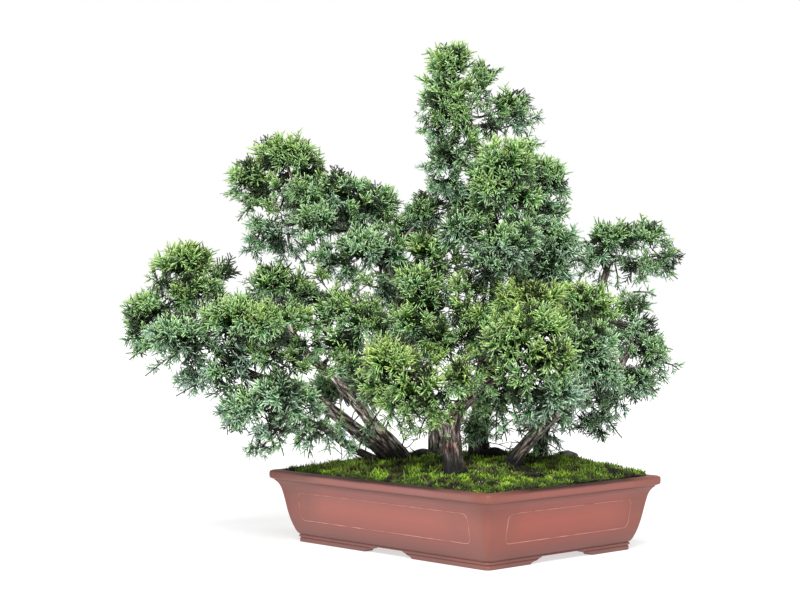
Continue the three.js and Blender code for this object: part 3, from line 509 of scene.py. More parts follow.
def dress(node, material):
    """Gives a CAD node that is shown as it is its material."""
    slots = frame["nodes"][node].data.materials
    slots.clear()
    slots.append(material)


dress("drain_screen_1", black_mesh)
dress("drain_screen_2", black_mesh)
dress("soil", damp_soil)

# ---------------------------------------------------------------------------------------------
# Moss: a living skin of cushion moss over the soil, with bare, gritty patches worn in it. It is a bed
# of even faces pushed out in cushions, and thousands of three-sided leaves set upright on it.

view_away = Vector((-math.sin(VIEW_TURN), math.cos(VIEW_TURN), 0))
tree_axes = np.array([view_right, view_away, (0, 0, 1)])


def to_model(points):
    """Points of the tree's own frame, in mm, in the model's frame, in metres."""
    return np.array(points) @ tree_axes * MM + np.array(pot_centre)


def unit(vectors):
    """Vectors made one long."""
    return vectors / np.linalg.norm(vectors, axis=-1, keepdims=True)


MOSS_VOXEL = 0.0026
BLADE_HEIGHT = 0.0046
BLADE_RADIUS = 0.0006
BLADE_SHAPES = [(1, 0.1), (0.8, 0.4), (1.2, -0.3)]
# How densely the leaves stand, how deep they are sunk, in metres, how they lean, and their sizes.
LEAF_SETTING = {
    "Per Square Metre": 170000, "Deepest": 0.0012, "Shallowest": 0.0, "Rise": 0.5, "Spread": 0.55,
    "Smallest": 0.6, "Largest": 1.3, "Steepest": 0.15,
}
MOSS_SEED = 3
UPPER_SIDE = 0.2
CUSHION_HEIGHT, CUSHION_PITCH = 0.0042, 66
TUFT_HEIGHT, TUFT_PITCH = 0.0016, 190
HILL = {"x": 105, "y": 15, "reach": 75, "height": 0.006}


def merged_copy(node):
    """A copy of a CAD node's mesh with its loose triangles joined."""
    mesh = frame["nodes"][node].data.copy()
    mesh.materials.clear()
    joined = bmesh.new()
    joined.from_mesh(mesh)
    bmesh.ops.remove_doubles(joined, verts=joined.verts, dist=1e-6)
    joined.to_mesh(mesh)
    joined.free()
    return mesh


def evenly_meshed(name, node, voxel, smoothing=0):
    """A CAD node's form in even small faces, as an object."""
    piece = bpy.data.objects.new(name, merged_copy(node))
    scene.collection.objects.link(piece)
    remesh = piece.modifiers.new("even", "REMESH")
    remesh.mode = "VOXEL"
    remesh.voxel_size = voxel
    if smoothing:
        soft = piece.modifiers.new("soft", "SMOOTH")
        soft.iterations = smoothing
        soft.factor = 0.5
    plain_mesh(piece)
    return piece


def keep_numbers(mesh, **columns):
    """Keeps a named number for each point of a mesh, for its material or its tree of nodes."""
    for name, values in columns.items():
        mesh.attributes.new(name, "FLOAT", "POINT").data.foreach_set("value", values)


def push_out(piece, amount):
    """Moves each vertex along its normal as amount(place, normal) says, and keeps that as its rise in mm."""
    places = [vertex.co.copy() for vertex in piece.data.vertices]
    normals = [vertex.normal.copy() for vertex in piece.data.vertices]
    amounts = [amount(place, normal) for place, normal in zip(places, normals)]
    moved = [place + normal * rise for place, normal, rise in zip(places, normals, amounts)]
    piece.data.vertices.foreach_set("co", np.array(moved).ravel())
    keep_numbers(piece.data, rise=np.array(amounts) / MM)
    piece.data.update()
    piece.data.polygons.foreach_set("use_smooth", [True] * len(piece.data.polygons))


def cushion(place, normal):
    """Cushions of 12 mm, tufts of 4 mm and a low hill at the right, on the moss's upper side only."""
    if normal.z < UPPER_SIDE:
        return 0.0
    large = noise.noise(place * CUSHION_PITCH)
    small = noise.noise(place * TUFT_PITCH)
    x, y, _ = (tree_axes @ np.array(place - pot_centre)) / MM
    fall = ((x - HILL["x"]) / HILL["reach"]) ** 2 + ((y - HILL["y"]) / HILL["reach"]) ** 2
    return CUSHION_HEIGHT * large + TUFT_HEIGHT * small + HILL["height"] * math.exp(-fall)


# Moss leaves: patches of yellow-green, brown-green and nearly black, where the darkest patches are painted
# shade in hollows. Painted light and shade lie on that: each leaf is dark at its foot and pale at its tip,
# the bed is darker in the hollows between the cushions and lighter on their crests, and it is darker towards
# the right.
live_moss, tree = new_material("cushion_moss")
where = add_node(tree, "ShaderNodeTexCoord").outputs["Object"]
patches = add_node(tree, "ShaderNodeTexNoise", {
    "Vector": where, "Scale": 42.0, "Detail": 4.0, "Roughness": 0.65,
})
moss_colour = add_node(tree, "ShaderNodeValToRGB", {"Fac": patches.outputs["Fac"]}, stops=[
    (0.36, "#1d190d"), (0.45, "#454617"), (0.51, "#62851f"), (0.58, "#82ac28"), (0.68, "#b4cc3c"),
])
tip = add_node(tree, "ShaderNodeAttribute", attribute_name="tip").outputs["Fac"]
tone = add_node(tree, "ShaderNodeAttribute", attribute_name="tone").outputs["Fac"]
# Painted shade: a leaf is dark at its foot and pale at its tip, with its random tone added.
brightness = add_node(tree, "ShaderNodeMath", {0: tip, 1: tone}, operation="ADD")
value = add_node(tree, "ShaderNodeMapRange", {
    "Value": brightness.outputs[0], "From Max": 2.0, "To Min": 0.22, "To Max": 2.1,
})
rise = add_node(tree, "ShaderNodeAttribute", attribute_name="rise").outputs["Fac"]
# Painted shade: the bed is darker in the hollows between the cushions and lighter on their crests.
crest_and_hollow_shade = add_node(tree, "ShaderNodeMapRange", {
    "Value": rise, "From Min": -1.5, "From Max": 0.7, "To Min": 0.2, "To Max": 1.1,
})
from_centre = add_node(tree, "ShaderNodeVectorMath", {0: where, 1: pot_centre}, operation="SUBTRACT")
rightward = add_node(tree, "ShaderNodeVectorMath", {
    0: from_centre.outputs[0], 1: view_right,
}, operation="DOT_PRODUCT")
# Painted shade: the moss is darker towards the right of the bed.
shaded_side = add_node(tree, "ShaderNodeMapRange", {
    "Value": rightward.outputs["Value"], "From Min": -0.02, "From Max": 0.14, "To Min": 1.0, "To Max": 0.72,
})
crest_light = add_node(tree, "ShaderNodeMath", {
    0: value.outputs[0], 1: crest_and_hollow_shade.outputs[0],
}, operation="MULTIPLY")
moss_light = add_node(tree, "ShaderNodeMath", {
    0: crest_light.outputs[0], 1: shaded_side.outputs[0],
}, operation="MULTIPLY")
lit = add_node(tree, "ShaderNodeHueSaturation", {
    "Color": moss_colour.outputs[0], "Value": moss_light.outputs[0],
})
shader = add_node(tree, "ShaderNodeBsdfPrincipled", {"Base Color": lit.outputs[0], "Roughness": 0.7})
add_node(tree, "ShaderNodeOutputMaterial", {"Surface": shader.outputs[0]})

moss_bed = evenly_meshed("moss_bed", "moss", MOSS_VOXEL)
push_out(moss_bed, cushion)
moss_bed.data.materials.append(live_moss)
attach(moss_bed, "root")
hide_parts("moss")


def blade(height, radius, lean):
    """A three-sided spike from the ground, leaning by a share of its height."""
    turns = np.linspace(0, 2 * math.pi, 3, endpoint=False)
    vertices = [(radius * math.cos(t), radius * math.sin(t), 0) for t in turns]
    knee = lean * height * 0.4
    narrow = radius * 0.7
    vertices += [(knee + narrow * math.cos(t), narrow * math.sin(t), height * 0.55) for t in turns]
    vertices.append((lean * height, 0, height))
    faces = tube_faces(2, 3, closed_ends=False) + [(2, 1, 0), (3, 4, 6), (4, 5, 6), (5, 3, 6)]
    return vertices, faces, [0, 0, 0, 0.6, 0.6, 0.6, 1], [0.5] * 7


def sprig_kinds(name, makers):
    """A collection of small meshes: vertices, faces, how near each vertex is to a tip, and its shade."""
    kinds = bpy.data.collections.new(name)
    scene.collection.children.link(kinds)
    for number, (vertices, faces, tips, shades) in enumerate(makers):
        mesh = bpy.data.meshes.new(f"{name}_{number}")
        mesh.from_pydata(vertices, [], faces)
        keep_numbers(mesh, tip=tips, shade=shades)
        mesh.polygons.foreach_set("use_smooth", [True] * len(mesh.polygons))
        kinds.objects.link(bpy.data.objects.new(f"{name}_{number}", mesh))
    return kinds


def put_away(kinds):
    """Removes the loose sprigs once all their copies are real."""
    for sprig in list(kinds.objects):
        bpy.data.objects.remove(sprig)
    bpy.data.collections.remove(kinds)


def new_tree(name, surface, values):
    """A tree of nodes that takes a mesh, a collection of sprigs, their finish, numbers and a seed."""
    tree = bpy.data.node_groups.new(name, "GeometryNodeTree")
    kinds = {surface: "NodeSocketGeometry", "Sprigs": "NodeSocketCollection", "Finish": "NodeSocketMaterial"}
    kinds.update({title: "NodeSocketFloat" for title in values}, Seed="NodeSocketInt")
    for title, kind in kinds.items():
        tree.interface.new_socket(title, in_out="INPUT", socket_type=kind)
    tree.interface.new_socket("Sprigs", in_out="OUTPUT", socket_type="NodeSocketGeometry")
    return tree, add_node(tree, "NodeGroupInput").outputs


def set_sprigs(tree, given, points, heading, kind, size, spin_seed):
    """Ends a tree: a sprig of a kind on each point, along its heading, and turned at random about that."""
    aligned = add_node(tree, "FunctionNodeAlignRotationToVector", {"Vector": heading}, axis="Z")
    spin = add_node(tree, "FunctionNodeRandomValue", {
        2: 0.0, 3: 2 * math.pi, 8: spin_seed,
    }, data_type="FLOAT")
    spin_turn = add_node(tree, "ShaderNodeCombineXYZ", {"Z": spin.outputs[1]})
    spin_by = add_node(tree, "FunctionNodeEulerToRotation", {0: spin_turn.outputs[0]})
    turned = add_node(tree, "FunctionNodeRotateRotation", {
        0: aligned.outputs[0], 1: spin_by.outputs[0],
    }, rotation_space="LOCAL")
    kinds = add_node(tree, "GeometryNodeCollectionInfo", {
        "Collection": given["Sprigs"], "Separate Children": True, "Reset Children": True,
    })
    set_out = add_node(tree, "GeometryNodeInstanceOnPoints", {
        "Points": points, "Instance": kinds.outputs[0], "Pick Instance": True,
        "Instance Index": kind, "Rotation": turned.outputs[0], "Scale": size,
    })
    real = add_node(tree, "GeometryNodeRealizeInstances", {"Geometry": set_out.outputs[0]})
    finished = add_node(tree, "GeometryNodeSetMaterial", {
        "Geometry": real.outputs[0], "Material": given["Finish"],
    })
    add_node(tree, "NodeGroupOutput", {0: finished.outputs[0]})


def grown(name, mesh, tree, inputs):
    """A plain mesh piece of what a tree of nodes grows on a mesh."""
    piece = bpy.data.objects.new(name, mesh)
    scene.collection.objects.link(piece)
    modifier = piece.modifiers.new(name, "NODES")
    modifier.node_group = tree
    sockets = {item.name: item.identifier for item in tree.interface.items_tree if item.in_out == "INPUT"}
    for title, value in inputs.items():
        modifier[sockets[title]] = value
    plain_mesh(piece)
    return piece


# Leaves at random places on the upper side of a surface, sunk a little, leaning out of it and upwards.
leaf_tree, given = new_tree("leaves_on_a_surface", "Surface", LEAF_SETTING)
facing = add_node(leaf_tree, "GeometryNodeInputNormal")
tilt = add_node(leaf_tree, "ShaderNodeSeparateXYZ", {0: facing.outputs[0]})
allowed = add_node(leaf_tree, "FunctionNodeCompare", {
    0: tilt.outputs["Z"], 1: given["Steepest"],
}, operation="GREATER_THAN")
points = add_node(leaf_tree, "GeometryNodeDistributePointsOnFaces", {
    "Mesh": given["Surface"], "Selection": allowed.outputs[0],
    "Density": given["Per Square Metre"], "Seed": given["Seed"],
})
out = points.outputs["Normal"]
depth = add_node(leaf_tree, "FunctionNodeRandomValue", {8: given["Seed"]}, data_type="FLOAT")
sink = add_node(leaf_tree, "ShaderNodeMix", {
    0: depth.outputs[1], 2: given["Shallowest"], 3: given["Deepest"],
})
inward = add_node(leaf_tree, "ShaderNodeMath", {0: sink.outputs[0], 1: -1.0}, operation="MULTIPLY")
offset = add_node(leaf_tree, "ShaderNodeVectorMath", {0: out, "Scale": inward.outputs[0]}, operation="SCALE")
sunk = add_node(leaf_tree, "GeometryNodeSetPosition", {
    "Geometry": points.outputs["Points"], "Offset": offset.outputs[0],
})
tone = add_node(leaf_tree, "FunctionNodeRandomValue", {8: 11}, data_type="FLOAT")
toned = add_node(leaf_tree, "GeometryNodeStoreNamedAttribute", {
    "Geometry": sunk.outputs[0], "Name": "tone", "Value": tone.outputs[1],
})
up_lean = add_node(leaf_tree, "ShaderNodeCombineXYZ", {"Z": given["Rise"]})
stray = add_node(leaf_tree, "FunctionNodeRandomValue", {
    0: (-1, -1, -1), 1: (1, 1, 1), 8: 23,
}, data_type="FLOAT_VECTOR")
stray_by = add_node(leaf_tree, "ShaderNodeVectorMath", {
    0: stray.outputs[0], "Scale": given["Spread"],
}, operation="SCALE")
leaning = add_node(leaf_tree, "ShaderNodeVectorMath", {0: out, 1: up_lean.outputs[0]}, operation="ADD")
heading = add_node(leaf_tree, "ShaderNodeVectorMath", {
    0: leaning.outputs[0], 1: stray_by.outputs[0],
}, operation="ADD")
size = add_node(leaf_tree, "FunctionNodeRandomValue", {
    2: given["Smallest"], 3: given["Largest"], 8: 47,
}, data_type="FLOAT")
choice = add_node(leaf_tree, "FunctionNodeRandomValue", {4: 0, 5: 1000, 8: 59}, data_type="INT")
set_sprigs(
    leaf_tree, given, toned.outputs[0], heading.outputs[0], choice.outputs[2], size.outputs[1], spin_seed=31,
)

blades = sprig_kinds("moss_blade", [
    blade(BLADE_HEIGHT * tallness, BLADE_RADIUS, lean) for tallness, lean in BLADE_SHAPES
])
moss_blades = grown("moss_leaves", moss_bed.data, leaf_tree, {
    "Sprigs": blades, "Finish": live_moss, **LEAF_SETTING, "Seed": MOSS_SEED,
})
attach(moss_blades, "root")
put_away(blades)

# ---------------------------------------------------------------------------------------------
# Litter and grass: pale grit and brown leaf crumbs where the moss is worn, black crumbs round the trunks'
# feet that are painted shade there, and hair grass. All of it lies or stands on the moss, or on the soil
# where that is bare.

# Patches of ground: the middle, as x and y in the tree's frame, and half the width and depth, in mm.
WORN_PATCHES = [
    ((76, -112), (36, 22)), ((24, -172), (26, 15)), ((130, -60), (34, 22)), ((10, -100), (30, 30)),
]
WHOLE_BED = ((0, -20), (230, 150))
TRUNK_FEET = [(-99, 2), (-80, -6), (-31, 24), (-12, -132), (22, -8), (50, -86), (103, 18), (74, -44)]
FOOT_PATCH = (27, 25)
GRASS_PATCHES = [(420, (-160, 10), (70, 60)), (160, (120, 40), (70, 50)), (160, (-40, -120), (120, 50))]
GRASS_HEIGHTS = (0.006, 0.015)
GRASS_HALF_WIDTH = 0.0003
DROP_HEIGHT = 160
LOWEST_GROUND = 0.085


def looked_up(mesh):
    """A mesh in the form in which a ray finds its faces."""
    places = [vertex.co for vertex in mesh.vertices]
    return BVHTree.FromPolygons(places, [tuple(face.vertices) for face in mesh.polygons])


grounds = [looked_up(moss_bed.data), looked_up(frame["nodes"]["soil"].data)]


def ground_places(count, centre, half, random):
    """Random places on top of the moss or the soil, inside an oval patch of the tree's frame."""
    places = []
    for _ in range(count):
        x, y = random.uniform(-1, 1, 2)
        if x * x + y * y > 1:
            continue
        above = Vector(to_model((centre[0] + x * half[0], centre[1] + y * half[1], DROP_HEIGHT)))
        hits = [ground.ray_cast(above, Vector((0, 0, -1)))[0] for ground in grounds]
        hits = [hit for hit in hits if hit is not None and hit.z > LOWEST_GROUND]
        if hits:
            places.append(max(hits, key=lambda hit: hit.z))
    return places


def crumb_piece(name, places, size, colour, random):
    """Many small, rough lumps, each a squashed and turned eight-sided stone."""
    points, faces = [], []
    base = [Vector(v) for v in ((1, 0, 0), (0, 1, 0), (-1, 0, 0), (0, -1, 0), (0, 0, 1), (0, 0, -1))]
    sides = [(0, 1, 4), (1, 2, 4), (2, 3, 4), (3, 0, 4), (1, 0, 5), (2, 1, 5), (3, 2, 5), (0, 3, 5)]
    for place in places:
        start = len(points)
        turn = Matrix.Rotation(random.uniform(0, 6.3), 3, Vector(unit(random.normal(size=3))))
        scale = Vector(random.uniform(0.4, 1.0, 3)) * size
        points += [place + turn @ Vector((v.x * scale.x, v.y * scale.y, v.z * scale.z)) for v in base]
        faces += [tuple(start + index for index in side) for side in sides]
    return new_piece(name, points, faces, colour, smooth=False)


pale_grit = plain_material("pale_pumice_grit", "#a39a84", 0.9)
dead_leaf = plain_material("dead_leaf_crumbs", "#4b3420", 0.9)
foot_shade_crumb = plain_material("black_crumbs_painted_foot_shade", "#16110c", 0.7)
litter = np.random.default_rng(5)
grit_places, crumb_places, foot_places = [], [], []
for centre, half in WORN_PATCHES:
    grit_places += ground_places(260, centre, half, litter)
    crumb_places += ground_places(300, centre, half, litter)
crumb_places += ground_places(1500, *WHOLE_BED, litter)
# Black crumbs round each trunk's foot: painted shade where the trunk stands in the moss.
for foot in TRUNK_FEET:
    foot_places += ground_places(260, foot, FOOT_PATCH, litter)
for name, places, size, colour in [
    ("pumice_grit", grit_places, 0.0013, pale_grit),
    ("leaf_crumbs", crumb_places, 0.0016, dead_leaf),
    ("wet_crumbs", foot_places, 0.003, foot_shade_crumb),
]:
    scattered = crumb_piece(name, places, size, colour, litter)
    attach(scattered, "root")

# Hair grass: fine, pale green blades that lean all ways, thickest at the left.
hair_grass = plain_material("hair_grass", "#9db04e", 0.6)
points, faces = [], []
grass_places = []
for count, centre, half in GRASS_PATCHES:
    grass_places += ground_places(count, centre, half, litter)
for place in grass_places:
    start = len(points)
    height = litter.uniform(*GRASS_HEIGHTS)
    lean = Vector((*litter.normal(0, 0.35, 2), 1))
    side = Vector((*unit(litter.normal(size=2)), 0)) * GRASS_HALF_WIDTH
    middle = place + lean * height * 0.5
    top = place + Vector((lean.x * 1.6, lean.y * 1.6, 1)) * height
    points += [place - side, place + side, middle - side * 0.8, middle + side * 0.8, top]
    faces += [(start, start + 1, start + 3, start + 2), (start + 2, start + 3, start + 4)]
grass = new_piece("hair_grass_blades", points, faces, hair_grass)
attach(grass, "root")

# ---------------------------------------------------------------------------------------------
# Stones: weathered, rough, and sunk in the moss. Each is the solid in even faces, softened and then
# roughened in lumps of 8 mm and pits of 2 mm.

weathered_stone, tree = new_material("weathered_stone")
where = add_node(tree, "ShaderNodeTexCoord").outputs["Object"]
mottle = add_node(tree, "ShaderNodeTexNoise", {
    "Vector": where, "Scale": 160.0, "Detail": 6.0, "Roughness": 0.65,
})
stone_colour = add_node(tree, "ShaderNodeValToRGB", {"Fac": mottle.outputs["Fac"]}, stops=[
    (0.32, "#4a4a44"), (0.66, "#a9a79c"),
])
bump = add_node(tree, "ShaderNodeBump", {"Height": mottle.outputs["Fac"], "Strength": 0.6, "Distance": 0.002})
shader = add_node(tree, "ShaderNodeBsdfPrincipled", {
    "Base Color": stone_colour.outputs[0], "Roughness": 0.8, "Normal": bump.outputs[0],
})
add_node(tree, "ShaderNodeOutputMaterial", {"Surface": shader.outputs[0]})

damp_stone = weathered_stone.copy()
damp_stone.name = "damp_dark_stone"
dark_ramp = next(node for node in damp_stone.node_tree.nodes if node.type == "VALTORGB").color_ramp
dark_ramp.elements[0].color = linear("#0f0e0c")
dark_ramp.elements[1].color = linear("#57524a")

STONE_VOXEL = 0.0011
STONE_LUMPS = {"height": 0.0013, "pitch": 130}
STONE_PITS = {"height": 0.0006, "pitch": 420}


def stone_relief(place, _):
    """How far a stone's surface stands out at a place."""
    lumps = STONE_LUMPS["height"] * noise.noise(place * STONE_LUMPS["pitch"])
    return lumps + STONE_PITS["height"] * noise.noise(place * STONE_PITS["pitch"])


for node, material, slot in [
    ("stone_grey", weathered_stone, "grey_stone"),
    ("stone_chip", weathered_stone, "grey_stone"),
    ("stone_dark", damp_stone, "dark_stone"),
]:
    stone = evenly_meshed(f"weathered_{node}", node, STONE_VOXEL, smoothing=6)
    push_out(stone, stone_relief)
    stone.data.materials.append(material)
    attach(stone, "root")
    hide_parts(node)

# ---------------------------------------------------------------------------------------------
# Wood: six old trunks with their limbs, the branches to the pads, and the twigs inside the pads.
# Lines are in the tree's own frame, in mm: x to its right, y away from its front, height, radius.

TRUNKS = {
    "trunk_left": [
        [(-84, 6, 62, 13), (-86, 6, 98, 12.5), (-99, 5, 119, 10), (-128, 0, 142, 8.6), (-156, -5, 164, 8.4),
         (-184, -10, 187, 8.2), (-219, -15, 206, 8.5), (-254, -20, 213, 7), (-285, -20, 228, 6),
         (-313, -22, 252, 5), (-340, -12, 284, 4), (-352, -4, 330, 2.5)],
        [(-76, 0, 80, 11), (-73, -2, 106, 10.5), (-89, -6, 129, 9.4), (-112, -12, 154, 8.8),
         (-132, -14, 181, 8.6), (-150, -14, 202, 7.6), (-170, -12, 222, 6.4), (-194, -8, 242, 5.4),
         (-216, 4, 272, 4.2), (-230, 18, 306, 3)],
        [(-104, 4, 106, 5.5), (-124, 8, 115, 5.2), (-148, 12, 127, 4.8), (-178, 8, 149, 4),
         (-204, -14, 163, 3.2), (-222, -38, 172, 2.4)],
    ],
    "trunk_rear_left": [
        [(-31, 26, 62, 13), (-31, 26, 98, 12), (-31, 25, 133, 10), (-38, 22, 172, 9),
         (-53, 18, 217, 8.5), (-68, 16, 263, 7.5), (-80, 18, 314, 6.5), (-96, 26, 356, 6),
         (-128, 34, 388, 5.4), (-164, 40, 420, 4.6), (-200, 48, 448, 3.8), (-224, 56, 480, 2.6)],
        [(-34, 16, 110, 7), (-50, 8, 117, 6), (-64, 2, 112, 5.4), (-78, -2, 98, 4)],
    ],
    "trunk_front": [
        [(-12, -130, 62, 13), (-12, -130, 94, 12.5), (-15, -130, 126, 11), (-17, -128, 156, 10),
         (-10, -124, 180, 9), (8, -119, 198, 7.6), (30, -120, 216, 6.2), (52, -126, 236, 4.8),
         (62, -132, 254, 3)],
        [(-16, -129, 158, 7), (-30, -128, 174, 5.6), (-44, -127, 190, 4.2), (-60, -126, 206, 3.2),
         (-76, -124, 224, 2.4)],
    ],
    "trunk_rear": [
        [(22, -4, 62, 15), (22, -4, 98, 14), (21, -2, 133, 12.5), (24, -4, 174, 11.5), (30, -8, 222, 11),
         (38, -10, 276, 9.5), (44, -8, 327, 8.5), (45, -4, 378, 7.5), (38, 0, 423, 6.6), (28, 4, 474, 5.6),
         (16, 7, 522, 4.6), (1, 11, 565, 3.6), (-12, 16, 606, 2.4)],
        [(28, -6, 114, 7), (42, -20, 121, 6), (60, -31, 112, 5), (76, -39, 94, 3.5)],
    ],
    "trunk_right_leaning": [
        [(44, -82, 62, 11), (50, -82, 96, 10), (66, -81, 122, 8.2), (90, -76, 150, 7.4), (120, -68, 176, 7),
         (152, -56, 197, 6.6), (186, -42, 218, 5), (208, -30, 246, 3.8), (216, -18, 280, 2.6)],
    ],
    "trunk_right_upright": [
        [(103, 20, 62, 11), (103, 20, 97, 10), (103, 21, 133, 9.4), (112, 26, 171, 8.6), (132, 36, 216, 7.6),
         (158, 52, 268, 6.4), (180, 68, 314, 5.4), (192, 80, 344, 4.6), (200, 88, 372, 3.2)],
    ],
}

# How pale the bark of each of those lines is drawn: partly the weathered bark's own paleness, partly painted
# light that lifts the lines that lie in the foliage's shadow.
BARK_LIGHT = {
    "trunk_left": [1.0, 2.7, 0.9],
    "trunk_rear_left": [2.5, 0.5],
    "trunk_front": [1.1, 1.1],
    "trunk_rear": [0.4, 0.4],
    "trunk_right_leaning": [1.5],
    "trunk_right_upright": [0.5],
}

